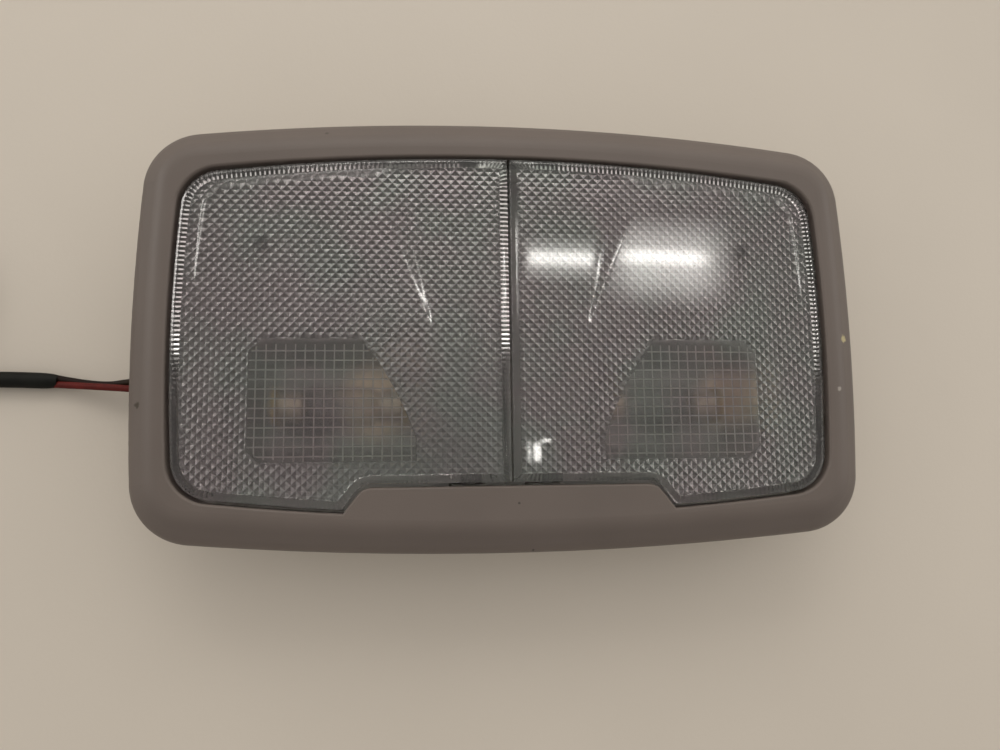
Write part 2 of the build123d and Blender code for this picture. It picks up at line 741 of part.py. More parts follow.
def make_reflector():
    """The right reflector: a plate on the housing's ledge with a bowl round the bulb."""
    outline = opening_outline(HOUSING_CLEARANCE - REFLECTOR_GAP)
    seam = SEAM_GAP / 2
    half = Pos(seam + BEZEL_WIDTH / 2, 0) * Rectangle(BEZEL_WIDTH, 2 * BEZEL_HEIGHT)
    plate = upright(outline & half, STEP_Z, REFLECTOR_TOP_Z)
    depth = REFLECTOR_TOP_Z - BOWL_FLOOR_Z
    bowl_plane = Plane(origin=(BULB_X, BULB_Y, REFLECTOR_TOP_Z))
    room = extrude(
        bowl_plane * RectangleRounded(BOWL_LENGTH, BOWL_WIDTH, BOWL_CORNER),
        amount=-depth,
        taper=BOWL_DRAFT,
    )
    shell = extrude(
        bowl_plane
        * RectangleRounded(
            BOWL_LENGTH + 2 * BOWL_WALL, BOWL_WIDTH + 2 * BOWL_WALL, BOWL_CORNER + BOWL_WALL
        ),
        amount=-depth - BOWL_WALL,
        taper=BOWL_DRAFT,
    )
    reflector = plate + shell - room
    for x in leaf_places():
        reflector -= block(
            x - STRIP_THICKNESS / 2 - PASSAGE / 2,
            x + STRIP_THICKNESS / 2 + PASSAGE / 2,
            BULB_Y - LEAF_WIDTH / 2 - PASSAGE / 2,
            BULB_Y + LEAF_WIDTH / 2 + PASSAGE / 2,
            FLOOR,
            BULB_Z,
        )
    reflector -= post(SWITCH_X, SWITCH_Y, STEP_Z, REFLECTOR_TOP_Z, PLUNGER_RADIUS + PASSAGE)
    access = ROOF_BOSS_RADIUS + PASSAGE / 2
    reflector -= post(ROOF_SCREW_X, ROOF_SCREW_Y, STEP_Z, REFLECTOR_TOP_Z, access)
    lower = bearing_y()[1]
    reflector -= block(
        HINGE_X - BEARING_WIDTH / 2 - PASSAGE / 2,
        HINGE_X + BEARING_WIDTH / 2 + PASSAGE / 2,
        -BEZEL_HEIGHT,
        lower + PASSAGE / 2,
        STEP_Z,
        REFLECTOR_TOP_Z,
    )
    return reflector


def cap_seat_x():
    """Distance from the bulb's middle to the inner face of each brass leaf."""
    return BULB_LENGTH / 2 - CAP_TIP_LENGTH + LEAF_SEAT


def cap_radius_at(x):
    """Radius of the cap's cone at a distance from the bulb's middle."""
    run = x - (BULB_LENGTH / 2 - CAP_TIP_LENGTH)
    return CAP_RADIUS - run * (CAP_RADIUS - CAP_TIP_RADIUS) / CAP_TIP_LENGTH


def leaf_places():
    """X of the right lamp's inner and outer brass leaves, at mid thickness."""
    reach = cap_seat_x() + STRIP_THICKNESS / 2
    return BULB_X - reach, BULB_X + reach


def bulb_place():
    return Pos(BULB_X, BULB_Y, BULB_Z)


def neck_end_x():
    return GLASS_LENGTH / 2 + GLASS_SHOULDER + NECK_LENGTH


def make_bulb_glass():
    """A hollow glass tube that narrows to a neck at each end."""
    body = GLASS_LENGTH / 2
    shoulder = body + GLASS_SHOULDER
    end = neck_end_x()
    wall = GLASS_WALL
    outer = [(-end, NECK_RADIUS), (-shoulder, NECK_RADIUS), (-body, GLASS_RADIUS)]
    outer += [(-x, r) for x, r in reversed(outer)]
    inner = [(x, r - wall) for x, r in reversed(outer)]
    return bulb_place() * turned_along_x(outer + inner)


def make_bulb_caps():
    """The two metal end caps, each a cup with a cone."""
    mouth = GLASS_LENGTH / 2 + GLASS_SHOULDER + CAP_CLEARANCE
    bottom = neck_end_x() + CAP_CLEARANCE
    cone = BULB_LENGTH / 2 - CAP_TIP_LENGTH
    bore = NECK_RADIUS + CAP_CLEARANCE
    cap = turned_along_x(
        [
            (mouth, bore),
            (mouth, CAP_RADIUS),
            (cone, CAP_RADIUS),
            (BULB_LENGTH / 2, CAP_TIP_RADIUS),
            (BULB_LENGTH / 2, 0),
            (bottom, 0),
            (bottom, bore),
        ]
    )
    return [bulb_place() * cap, bulb_place() * mirrored(cap)]


def make_bulb_filament():
    """The filament on its two leads, between the caps."""
    end = neck_end_x() + CAP_CLEARANCE
    half = FILAMENT_LENGTH / 2
    lead = FILAMENT_LEAD_RADIUS
    profile = [(-end, 0), (-end, lead), (-half, lead), (-half, FILAMENT_RADIUS)]
    profile += [(-x, r) for x, r in reversed(profile)]
    return bulb_place() * turned_along_x(profile)


def strip_lane(points):
    """A flat brass strip on the housing's floor along a line of points."""
    lane = None
    for (x0, y0), (x1, y1) in zip(points, points[1:]):
        length = math.hypot(x1 - x0, y1 - y0) + STRIP_WIDTH
        turn = math.degrees(math.atan2(y1 - y0, x1 - x0))
        piece = Rectangle(length, STRIP_WIDTH, rotation=turn)
        piece = Pos((x0 + x1) / 2, (y0 + y1) / 2) * piece
        lane = piece if lane is None else lane + piece
    return upright(lane, FLOOR, STRIP_Z)


def bulb_leaf(x):
    """An upright brass leaf with the hole that a bulb cap's cone sits in."""
    leaf = block(
        x - STRIP_THICKNESS / 2,
        x + STRIP_THICKNESS / 2,
        BULB_Y - LEAF_WIDTH / 2,
        BULB_Y + LEAF_WIDTH / 2,
        FLOOR,
        BULB_Z + LEAF_RISE,
    )
    tops = leaf.edges().filter_by(Axis.X).group_by(Axis.Z)[-1]
    leaf = fillet(tops, LEAF_WIDTH / 4)
    radius = cap_radius_at(cap_seat_x()) + LEAF_CLEARANCE
    hole = Pos(x, BULB_Y, BULB_Z) * Rot(0, 90, 0) * Cylinder(radius, 2 * STRIP_THICKNESS)
    return leaf - hole


def solder_tab(y):
    """An upright tab on a strip's end that a wire is soldered to."""
    return block(
        WIRE_START_X,
        WIRE_START_X + STRIP_THICKNESS,
        y - TAB_WIDTH / 2,
        y + TAB_WIDTH / 2,
        FLOOR,
        CABLE_Z + WIRE_RADIUS,
    )


def make_feed_strip():
    """The strip from the red wire to the inner ends of both bulbs."""
    inner = leaf_places()[0]
    lane = strip_lane(
        [
            (WALL_LANE_X, RED_Y),
            (WALL_LANE_X, FEED_LANE_Y),
            (-inner, FEED_LANE_Y),
            (-inner, BULB_Y),
            (inner, BULB_Y),
        ]
    )
    return lane + bulb_leaf(-inner) + bulb_leaf(inner) + solder_tab(RED_Y)


def switch_back_y():
    return SWITCH_Y + SWITCH_WIDTH / 2


def make_earth_strip():
    """The strip from the black wire past both switches."""
    lane = strip_lane(
        [
            (WALL_LANE_X, BLACK_Y),
            (WALL_LANE_X, EARTH_BEND_Y),
            (EARTH_BEND_X, EARTH_LANE_Y),
            (SWITCH_X, EARTH_LANE_Y),
        ]
    )
    feet = []
    for side in (-1, 1):
        x = side * SWITCH_X
        half = STRIP_WIDTH / 2
        feet.append(block(x - half, x + half, switch_back_y(), EARTH_LANE_Y, FLOOR, STRIP_Z))
    return lane + feet + solder_tab(BLACK_Y)


def make_switched_strip():
    """The right strip from the bulb's outer end to the switch."""
    outer = leaf_places()[1]
    front = SWITCH_Y - SWITCH_WIDTH / 2
    foot = block(
        outer - STRIP_WIDTH / 2, outer + STRIP_WIDTH / 2, BULB_Y, front, FLOOR, STRIP_Z
    )
    return foot + bulb_leaf(outer)


def switch_top_z():
    return FLOOR + SWITCH_HEIGHT


def flange_z():
    """Underside of the plunger's flange at rest."""
    return switch_top_z() - PLUNGER_GUIDE - PLUNGER_FLANGE_HEIGHT


def make_switch_body():
    """The right push switch's case, bored for its plunger."""
    case = block(
        SWITCH_X - SWITCH_LENGTH / 2,
        SWITCH_X + SWITCH_LENGTH / 2,
        SWITCH_Y - SWITCH_WIDTH / 2,
        SWITCH_Y + SWITCH_WIDTH / 2,
        FLOOR,
        switch_top_z(),
    )
    case = fillet(case.edges().filter_by(Axis.Z), SWITCH_CORNER)
    bore = PLUNGER_RADIUS + RUNNING_CLEARANCE
    chamber = PLUNGER_FLANGE_RADIUS + RUNNING_CLEARANCE
    guide_z = switch_top_z() - PLUNGER_GUIDE
    case -= post(SWITCH_X, SWITCH_Y, guide_z, switch_top_z(), bore)
    case -= post(SWITCH_X, SWITCH_Y, flange_z() - PLUNGER_TRAVEL_ROOM, guide_z, chamber)
    return case


def make_switch_plunger():
    """The right switch's plunger, held in by its flange."""
    tip_z = POST_TIP_Z - POST_GAP
    base = flange_z() - RUNNING_CLEARANCE
    stem = post(SWITCH_X, SWITCH_Y, base, tip_z, PLUNGER_RADIUS)
    stem = fillet(stem.edges().group_by(Axis.Z)[-1], PLUNGER_TIP_ROUND)
    flange = post(SWITCH_X, SWITCH_Y, base, base + PLUNGER_FLANGE_HEIGHT, PLUNGER_FLANGE_RADIUS)
    return stem + flange


def make_cable_grommet():
    """The rubber grommet: a plug in the gland, a flange on its face and a tapered nose."""
    inner_wall = GLAND_REACH + HOUSING_WALL + draft_run(STEP_Z - CABLE_Z)
    plug = extrude(gland_section(0.0), amount=inner_wall)
    flange = extrude(gland_section(GROMMET_LIP), amount=-GROMMET_FLANGE)
    nose_reach = GROMMET_FLANGE + GROMMET_NOSE
    nose = extrude(gland_section(0.0), amount=-nose_reach, taper=GROMMET_TAPER)
    bores = [cord_tube(route, WIRE_RADIUS + GROMMET_FIT) for route in (RED_ROUTE, BLACK_ROUTE)]
    return plug + flange + nose - bores


# Route points of the lead, from the brass strips to the coil and from the coil to the connector
RED_ROUTE = [
    (WIRE_START_X, RED_Y, CABLE_Z),
    (GLAND_FACE_X - 0.9, RED_Y, CABLE_Z),
    (GLAND_FACE_X - 15.8, -11.6, 5.9),
    (GLAND_FACE_X - 31.3, -9.85, 2.6),
]
BLACK_ROUTE = [
    (WIRE_START_X, BLACK_Y, CABLE_Z),
    (GLAND_FACE_X - 0.9, BLACK_Y, CABLE_Z),
    (GLAND_FACE_X - 15.8, -9.5, 5.5),
    (GLAND_FACE_X - 31.3, -7.9, 2.45),
]
SHEATH_ROUTE = [
    (GLAND_FACE_X - 31.7, -8.85, 2.1),
    (GLAND_FACE_X - 42.0, -8.5, 2.15),
    (GLAND_FACE_X - 53.5, -8.5, 2.5),
    (GLAND_FACE_X - 65.4, -8.9, 2.85),
    (COIL_CENTRE[0], COIL_Y - COIL_RADIUS, COIL_Z),
]
TAIL_ROUTE = [
    (COIL_CENTRE[0] - COIL_RADIUS, COIL_Y, COIL_Z + COIL_LIFT),
    (GLAND_FACE_X - 100.0, 22.6, 6.4),
    (GLAND_FACE_X - 100.6, 33.0, 4.2),
    (GLAND_FACE_X - 100.4, 43.0, 3.5),
]


def largest_radii(points):
    """The bend radius at each inner point, as large as its two runs allow."""
    vectors = [Vector(*p) for p in points]
    radii = []
    for a, b, c in zip(vectors, vectors[1:], vectors[2:]):
        turn = math.radians((b - a).get_angle(c - b))
        run = min((b - a).length, (c - b).length)
        radii.append(BEND_SHARE * run / math.tan(turn / 2))
    return radii


def cord_tube(points, radius):
    """A round cord along straight runs joined by tangent arcs."""
    path = FilletPolyline(*points, radius=largest_radii(points))
    start = Plane(origin=path @ 0, z_dir=path % 0)
    return sweep(start * Circle(radius), path=path)


def coil_section(grow=0.0):
    """The coil's section, one cord wide and two cords high, at its place in the XZ plane."""
    radius = SHEATH_RADIUS + grow
    shape = RectangleRounded(2 * radius, 2 * radius + COIL_LIFT, COIL_ROUNDING * radius)
    return Plane.XZ * Pos(COIL_RADIUS, COIL_Z + COIL_LIFT / 2) * shape


def make_cable_coil():
    """The outer shape of the coil: a ring one cord wide and two cords high."""
    return Pos(*COIL_CENTRE) * revolve(coil_section(), Axis.Z)


def make_cable_tie():
    """A flat tie round the coil's two layers."""
    band = coil_section(TIE_WALL) - coil_section(GROMMET_FIT)
    half_turn = math.degrees(TIE_WIDTH / 2 / COIL_RADIUS)
    ring = revolve(band, Axis.Z, revolution_arc=2 * half_turn)
    return Pos(*COIL_CENTRE) * Rot(0, 0, TIE_ANGLE - half_turn) * ring


def make_cable_connector():
    """A two-way plug with a boot, a latch and two terminal holes, at the end of the tail."""
    x, tail_y, z = TAIL_ROUTE[-1]
    back = tail_y + CONNECTOR_GAP + BOOT_LENGTH
    front = back + CONNECTOR_LENGTH
    top = z + CONNECTOR_HEIGHT / 2
    half = CONNECTOR_WIDTH / 2
    case = block(x - half, x + half, back, front, z - CONNECTOR_HEIGHT / 2, top)
    case = fillet(case.edges().filter_by(Axis.Y), SWITCH_CORNER)
    boot_plane = Plane(origin=(x, back, z), x_dir=(1, 0, 0), z_dir=(0, -1, 0))
    boot_section = boot_plane * RectangleRounded(BOOT_WIDTH, BOOT_HEIGHT, BOOT_CORNER)
    boot = extrude(boot_section, amount=BOOT_LENGTH, taper=BOOT_TAPER)
    ramp = Polygon(
        (front - LATCH_LENGTH, top),
        (front, top),
        (front - LATCH_LEAD_IN, top + LATCH_RISE),
        (front - LATCH_LENGTH + LATCH_BACK_RUN, top + LATCH_RISE),
        align=None,
    )
    latch = extrude(Plane.YZ * ramp, amount=LATCH_WIDTH / 2, both=True)
    plug = case + boot + Pos(x, 0, 0) * latch
    hole = TERMINAL_HOLE / 2
    for side in (-1, 1):
        middle = x + side * TERMINAL_PITCH / 2
        plug -= block(middle - hole, middle + hole, front - TERMINAL_DEPTH, front, z - hole, z + hole)
    return plug


def both_sides(name, right):
    """A right-hand solid, or several, under its own name, and its mirror image for the left."""
    left = [mirrored(s) for s in right] if isinstance(right, list) else mirrored(right)
    return {f"{name}_right": right, f"{name}_left": left}


def all_parts():
    parts = {
        "bezel": make_bezel(),
        "housing": make_housing(),
        "housing_screws": make_housing_screws(),
        "feed_strip": make_feed_strip(),
        "earth_strip": make_earth_strip(),
        "cable_grommet": make_cable_grommet(),
        "red_wire": cord_tube(RED_ROUTE, WIRE_RADIUS),
        "black_wire": cord_tube(BLACK_ROUTE, WIRE_RADIUS),
        "cable_sheath": cord_tube(SHEATH_ROUTE, SHEATH_RADIUS),
        "cable_coil": make_cable_coil(),
        "cable_tail": cord_tube(TAIL_ROUTE, SHEATH_RADIUS),
        "cable_tie": make_cable_tie(),
        "cable_connector": make_cable_connector(),
    }
    parts |= both_sides("lens", make_lens())
    parts |= both_sides("reflector", make_reflector())
    parts |= both_sides("bulb_glass", make_bulb_glass())
    parts |= both_sides("bulb_caps", make_bulb_caps())
    parts |= both_sides("bulb_filament", make_bulb_filament())
    parts |= both_sides("switched_strip", make_switched_strip())
    parts |= both_sides("switch_body", make_switch_body())
    parts |= both_sides("switch_plunger", make_switch_plunger())
    return parts


os.makedirs("parts", exist_ok=True)
for name, solid in all_parts().items():
    shape = Compound(children=solid) if isinstance(solid, list) else solid
    export_step(shape, f"parts/{name}.step")
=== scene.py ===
"""Car dome light with two push-lenses: fine shapes, finishes, lead and stage."""
import math
from typing import NamedTuple

import bmesh
import bpy
import numpy as np
from bpy.props import FloatProperty, FloatVectorProperty, PointerProperty
from mathutils import Matrix, Vector
from mathutils.geometry import delaunay_2d_cdt


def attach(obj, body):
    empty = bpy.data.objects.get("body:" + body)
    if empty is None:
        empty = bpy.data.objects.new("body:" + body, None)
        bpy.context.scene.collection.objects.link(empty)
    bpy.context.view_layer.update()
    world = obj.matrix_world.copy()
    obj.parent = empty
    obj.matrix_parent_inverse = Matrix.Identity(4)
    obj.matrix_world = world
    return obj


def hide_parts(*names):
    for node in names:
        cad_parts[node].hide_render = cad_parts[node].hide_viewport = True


bl_info = {
    "name": "Car Dome Light",
    "version": (1, 0, 0),
    "blender": (4, 5, 0),
    "location": "3D View > Sidebar > Dome Light",
    "description": "Builds a car dome light with two push-lenses, its lead and its stage",
    "category": "Object",
}

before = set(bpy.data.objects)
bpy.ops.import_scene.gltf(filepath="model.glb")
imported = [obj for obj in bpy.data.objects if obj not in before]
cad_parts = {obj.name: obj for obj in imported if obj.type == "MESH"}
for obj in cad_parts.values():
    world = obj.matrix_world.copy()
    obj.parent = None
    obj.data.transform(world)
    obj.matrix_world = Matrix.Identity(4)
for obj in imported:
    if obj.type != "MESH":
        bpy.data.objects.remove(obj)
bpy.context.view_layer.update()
MM = 0.001
SIDES = (("left", -1), ("right", 1))

# Camera, in millimetres and as unit vectors
CAMERA_PLACE = (-21.5, -34.1, 207.6)
CAMERA_FORWARD = (0.1057, 0.1287, -0.9861)
CAMERA_UP = (0.0002, 0.9919, 0.1268)
CAMERA_LENS = 27.52
CAMERA_SENSOR = 36.0
CAMERA_NEAR = 0.01

# Bezel opening, in millimetres
OPENING_HALF = 78.1
OPENING_TOP = 42.1
OPENING_BOTTOM = -43.6
OPENING_TOP_BOW = 5.3
OPENING_BOTTOM_BOW = 4.8
OPENING_SIDE_BOW = 1.8
OPENING_CORNER = 10.0
TAB_TOP_Y = -36.7
TAB_TOP_HALF = 34.0
TAB_RAMP = 5.3
TAB_RISE = 6.9
TAB_CORNER = 4.0

# Lens form, in millimetres
LENS_GAP = 0.8
SEAM_GAP = 0.6
LENS_TOP_Z = 32.6
LENS_WALL = 2.0
LENS_CROWN_RADIUS = 2500.0
LENS_SKIRT_Z = 25.9
LENS_SKIRT_WALL = 0.26
LENS_BEVEL_RUN = 0.5
LENS_BEVEL_TURN = math.radians(22.0)
LENS_EDGE_ROUND = 0.2
LENS_EDGE_STEPS = 4
FACE_STEP = 0.48
FACE_FINE_STEP = 0.25
FACE_FINE_X = ((15.5, 33.5), (70.0, 74.5))
FACE_FINE_Y = ((-4.0, 25.0), (36.0, 40.5))
FACE_MARGIN = 0.45
FILL_TOLERANCE = 1e-6
PAD_RISE = 0.9
PAD_FOOT_Y = -2.6
PAD_TOP_Y = 38.8
PAD_SIDE_X = 72.8
PAD_CORNER = 5.5
PAD_EDGE_SLOPE = 0.55
PAD_EDGE_BLEND = 0.25
PAD_CREASE_FOOT_X = 17.4
PAD_CREASE_TOP_X = 28.0
PAD_CREASE_RUN = 5.6
PAD_CREASE_BLEND = 0.12
PAD_FOOT_BLEND = 0.05

# Lens pattern, in millimetres
RIM_FLAT = 0.32
RIM_FLUTE_END = 1.85
FLUTE_LEAD_IN = 0.1
FLUTE_FADE_Y = (-38.0, 0.0)
FLUTE_FADE = (0.35, 1.0)
CORNER_REACH = 7.0
PATTERN_MARGIN = 0.2
BUMP_SPLIT = 2
BUMP_WALL = 0.12
PANE_SHARE = 0.992
WINDOW_LEFT_X = 22.0
WINDOW_RIGHT_X = 60.3
WINDOW_TOP_Y = -2.4
WINDOW_BOTTOM_Y = -31.0
WINDOW_SLANT = 12.6
WINDOW_FOOT = 5.4
WINDOW_SLANT_BOW = 1.1
WINDOW_CHAMFER = 3.0
WINDOW_STEP = 0.3
WINDOW_MARGIN = 0.2
GRID_LINE_HALF = 0.17
GRID_LINE_STEPS = 2
GRID_GAP_STEPS = 4
GRID_UPRIGHT_SHARE = 0.7
GRID_FIRST_X = 58.35
GRID_FIRST_Y = -5.4
CLEAR_FIELD = 0
BUMP_FIELD = 1
WINDOW_FIELD = 2
RIB_FIELD = 3
FIELD_MATERIALS = ("Clear Material", "Bump Material", "Window Material", "Rib Material")

# Lens plastic
PLASTIC_IOR = 1.49
TINT_PATCHES = 55.0
TINT_STOPS = (0.4, 0.6)
PINKISH = (1.0, 0.93, 0.955)
GREENISH = (0.945, 1.0, 0.965)
BUMP_ROUGHNESS = 0.29
WINDOW_TINT = (0.86, 0.85, 0.85)
WINDOW_ROUGHNESS = 0.26
WINDOW_HAZE = 0.05
RIB_TINT = (0.56, 0.53, 0.52)
RIB_ROUGHNESS = 0.4
RIB_HAZE = 0.37
FITTING_SHADE = 0.85
FITTING_ROUGHNESS = 0.06
BULB_GLASS_TINT = (0.97, 0.97, 0.96)
BULB_GLASS_ROUGHNESS = 0.01

# Lens hinge, hook and switch post, in millimetres
HINGE_X = 9.5
HINGE_Z = 21.0
HINGE_PIN_RADIUS = 1.5
LUG_WIDTH = 4.6
LUG_THICKNESS = 1.8
LUG_FOOT_Z = 17.5
PIN_REACH = 3.5
HOOK_HALF = 5.0
HOOK_OUT_X = 79.7
HOOK_TOP_Z = 24.8
HOOK_FOOT_Z = 23.2
SWITCH_PLACE = (58.0, 20.0)
POST_RADIUS = 1.6
POST_TIP_Z = 21.0
FITTING_ROUND = 0.25
FITTING_ROUND_STEPS = 2
PIN_SIDES = 24

# Bulb filaments, in millimetres
BULB_PLACE = (41.0, -16.5, 10.0)
FILAMENT_LENGTH = 8.0
FILAMENT_LEAD_REACH = 9.0
FILAMENT_TURNS = 16
FILAMENT_RADIUS = 0.42
FILAMENT_WIRE_RADIUS = 0.07
FILAMENT_STEPS = 14
FILAMENT_SIDES = 6

# Lead, in millimetres
RED_ROUTE = (
    (-68.45, -12.6, 8.0),
    (-82.5, -12.6, 8.0),
    (-88.5, -11.9, 7.4),
    (-99.0, -10.9, 5.4),
    (-114.4, -9.75, 2.15),
)
DARK_ROUTE = (
    (-68.45, -9.6, 8.0),
    (-82.5, -9.6, 8.0),
    (-93.0, -9.3, 6.0),
    (-103.0, -10.5, 2.7),
    (-114.4, -8.05, 2.15),
)
SHEATH_ROUTE = (
    (-113.4, -8.93, 2.1),
    (-114.5, -8.88, 2.1),
    (-123.6, -8.5, 2.15),
    (-135.1, -8.5, 2.5),
    (-147.0, -8.9, 2.85),
    (-159.0, -8.9, 2.85),
)
SHEATH_TIP = 0.72
TAIL_ROUTE = ((-181.5, 13.6, 6.95), (-181.6, 22.6, 6.4), (-182.2, 33.0, 4.2), (-182.0, 43.0, 3.5))
WIRE_DIAMETER = 1.75
OLIVE_RUN = (-100.0, -88.0)
OLIVE = (0.035, 0.023, 0.009)
SHEATH_DIAMETER = 4.1
COIL_CENTRE = (-159.0, 13.6)
COIL_RADIUS = 22.5
COIL_Z = 2.85
COIL_LIFT = 4.1
COIL_TURNS = 1.25
COIL_CLIMB = (0.68, 0.93)
COIL_POINTS_PER_TURN = 16
COIL_CUT_SHARE = 0.75
RED_WIRE_LENGTH = 45.0
DARK_WIRE_LENGTH = 45.0
CORD_ORDER = 3
CORD_STEPS = 12
CORD_ROUND_STEPS = 6

# Wear on the bezel: place in plan and size in millimetres, and colour
SPOT_EDGE = 1500.0
SPOT_FADE = (1.25, 0.85)
WEAR_SPOTS = (
    ((-84.1, -17.7), 1.2, (0.045, 0.033, 0.022)),
    ((83.3, -2.0), 1.5, (0.46, 0.40, 0.22)),
    ((80.6, -14.5), 0.9, (0.30, 0.27, 0.24)),
    ((5.0, -51.7), 0.5, (0.04, 0.035, 0.03)),
    ((1.3, -40.7), 0.5, (0.05, 0.042, 0.035)),
    ((-43.3, 47.5), 0.8, (0.07, 0.06, 0.05)),
)

# Painted light in the reflectors' bowls: bright tan spots are painted highlights of a glow and dark spots
# are painted shade. Place in plan and size in millimetres, and colour
REFLECTOR_PAINTED_LIGHT_SPOTS = (
    ((-33.0, -15.0), 15.5, (0.98, 0.79, 0.57)),
    ((-50.0, -19.0), 13.0, (0.1, 0.095, 0.09)),
    ((62.0, -14.5), 12.5, (0.98, 0.81, 0.61)),
    ((44.0, -19.0), 12.0, (0.1, 0.095, 0.09)),
)

# Finishes
NOISE_DETAIL = 3.0
NOISE_ROUGHNESS = 0.55
BLOTCH_STOPS = (0.35, 0.65)
GRAIN_STRENGTH = 0.5


class Surface(NamedTuple):
    """A finish's gloss, its blotches and grain per metre, and its grain's depth in millimetres."""

    roughness: tuple
    blotch: float
    grain: float
    grain_depth: float
    metallic: float = 0.0
    specular: float = 0.5


SURFACES = {
    "bezel_satin_plastic": Surface((0.45, 0.55), 45.0, 2600.0, 0.04, specular=0.32),
    "housing_plastic": Surface((0.5, 0.6), 60.0, 1800.0, 0.05),
    "screw_zinc": Surface((0.28, 0.42), 700.0, 3000.0, 0.02, metallic=1.0),
    "grommet_rubber": Surface((0.6, 0.75), 200.0, 2000.0, 0.06),
    "reflector_metallised": Surface((0.3, 0.45), 90.0, 1200.0, 0.08, metallic=0.35),
    "bulb_nickel": Surface((0.42, 0.55), 500.0, 2500.0, 0.02, metallic=1.0),
    "filament_tungsten": Surface((0.4, 0.55), 900.0, 4000.0, 0.02, metallic=1.0),
    "strip_brass": Surface((0.28, 0.45), 200.0, 2500.0, 0.02, metallic=1.0),
    "switch_case": Surface((0.45, 0.6), 300.0, 2500.0, 0.04),
    "switch_plunger": Surface((0.4, 0.5), 300.0, 2500.0, 0.03),
    "sheath_rubber": Surface((0.5, 0.7), 300.0, 2500.0, 0.04, specular=0.15),
    "lead_red_wire_insulation": Surface((0.5, 0.65), 400.0, 3000.0, 0.02, specular=0.12),
    "lead_dark_wire_insulation": Surface((0.5, 0.65), 400.0, 3000.0, 0.02, specular=0.12),
    "connector_nylon": Surface((0.4, 0.52), 250.0, 2200.0, 0.04),
    "tie_nylon": Surface((0.35, 0.5), 400.0, 2600.0, 0.03),
    "floor_paper": Surface((0.5, 0.6), 9.0, 900.0, 0.05),
}

# Dark and light tones of the finishes whose colour isn't a setting
TONES = {
    "screw_zinc": ((0.42, 0.42, 0.40), (0.6, 0.6, 0.58)),
    "grommet_rubber": ((0.012, 0.012, 0.011), (0.026, 0.025, 0.023)),
    "bulb_nickel": ((0.50, 0.43, 0.34), (0.64, 0.56, 0.45)),
    "filament_tungsten": ((0.12, 0.12, 0.12), (0.2, 0.2, 0.2)),
    "strip_brass": ((0.50, 0.34, 0.12), (0.68, 0.5, 0.22)),
    "switch_case": ((0.09, 0.088, 0.085), (0.13, 0.128, 0.124)),
    "switch_plunger": ((0.62, 0.60, 0.55), (0.7, 0.68, 0.63)),
    "connector_nylon": ((0.60, 0.57, 0.49), (0.68, 0.65, 0.57)),
    "tie_nylon": ((0.02, 0.02, 0.02), (0.04, 0.04, 0.04)),
}

# Dark and light tones of the other finishes, as shares of the colour that is set
SHADES = {
    "bezel_satin_plastic": (0.93, 1.0),
    "housing_plastic": (0.92, 1.0),
    "reflector_metallised": (0.8, 1.0),
    "sheath_rubber": (1.0, 2.2),
    "lead_red_wire_insulation": (1.0, 1.5),
    "lead_dark_wire_insulation": (1.0, 1.5),
    "floor_paper": (1.0, 1.04),
}

# Stage, in metres
FLOOR_HALF = 3.0
TUBE_AIM = (0.02, 0.02, 0.03)

# Lamps: name, place, size, glow, and share of the width and height that fades
ROOM_LAMP = ("RoomLamp", (-0.1, 0.8, 0.72), (0.9, 0.5), 1.8, (0.15, 0.2))
MIRRORED_LAMPS = (
    ("MiddleTube", (0.215, 0.308, 1.03), (0.13, 0.036), 15.0, (0.12, 0.45)),
    ("MiddleGlow", (0.215, 0.308, 1.035), (0.14, 0.085), 6.5, (0.12, 0.45)),
    ("PadTube", (0.402, 0.268, 1.03), (0.2, 0.04), 16.0, (0.25, 0.48)),
    ("PadGlow", (0.41, 0.262, 1.035), (0.27, 0.17), 10.5, (0.35, 0.48)),
    ("SeamTube", (0.123, 0.28, 1.03), (0.03, 0.2), 20.0, (0.3, 0.25)),
    ("SideTube", (-0.8, 0.28, 0.45), (0.2, 0.6), 7.5, (0.2, 0.15)),
    ("RightTube", (0.9, 0.2, 0.41), (0.16, 0.5), 8.0, (0.3, 0.2)),
    ("EdgeTube", (0.0, 0.62, 0.72), (0.6, 0.05), 8.0, (0.2, 0.2)),
    ("RimTube", (0.1, 0.9, 0.5), (0.8, 0.07), 5.0, (0.2, 0.2)),
    ("GlintBlock", (0.165, -0.001, 1.03), (0.017, 0.038), 26.0, (0.3, 0.3)),
    ("GlintStroke", (0.151, 0.0, 1.03), (0.005, 0.036), 20.0, (0.3, 0.2)),
    ("GlintArm", (0.182, 0.017, 1.03), (0.022, 0.005), 24.0, (0.2, 0.2)),
)
LAMP_COLOUR = (1.0, 0.97, 0.92)

# Even light: the way it dims, and its colour along that way
DIM_TOWARDS = (-0.05, -0.72, 0.69)
ROOM_LEVELS = (
    (0.0, (1.0, 0.95, 0.88)),
    (0.35, (0.72, 0.685, 0.635)),
    (0.7, (0.5, 0.475, 0.445)),
    (0.95, (0.42, 0.4, 0.375)),
)


def metres(points):
    """Points in millimetres as vectors in metres."""
    return [Vector(point) * MM for point in points]


# Mesh helpers


def new_object(name, mesh):
    """A new object at the origin with the given mesh."""
    piece = bpy.data.objects.new(name, mesh)
    bpy.context.scene.collection.objects.link(piece)
    return piece


def close_mesh(shape, name):
    """A mesh from a bmesh, with its normals turned outwards."""
    bmesh.ops.recalc_face_normals(shape, faces=shape.faces)
    mesh = bpy.data.meshes.new(name)
    shape.to_mesh(mesh)
    shape.free()
    return mesh


def settle(piece):
    """Turns a piece's modifiers into its plain mesh."""
    view = bpy.context.evaluated_depsgraph_get()
    mesh = bpy.data.meshes.new_from_object(piece.evaluated_get(view))
    piece.modifiers.clear()
    piece.data = mesh
    return piece


def dress(piece, material):
    """Gives a piece one material all over."""
    piece.data.materials.clear()
    piece.data.materials.append(material)


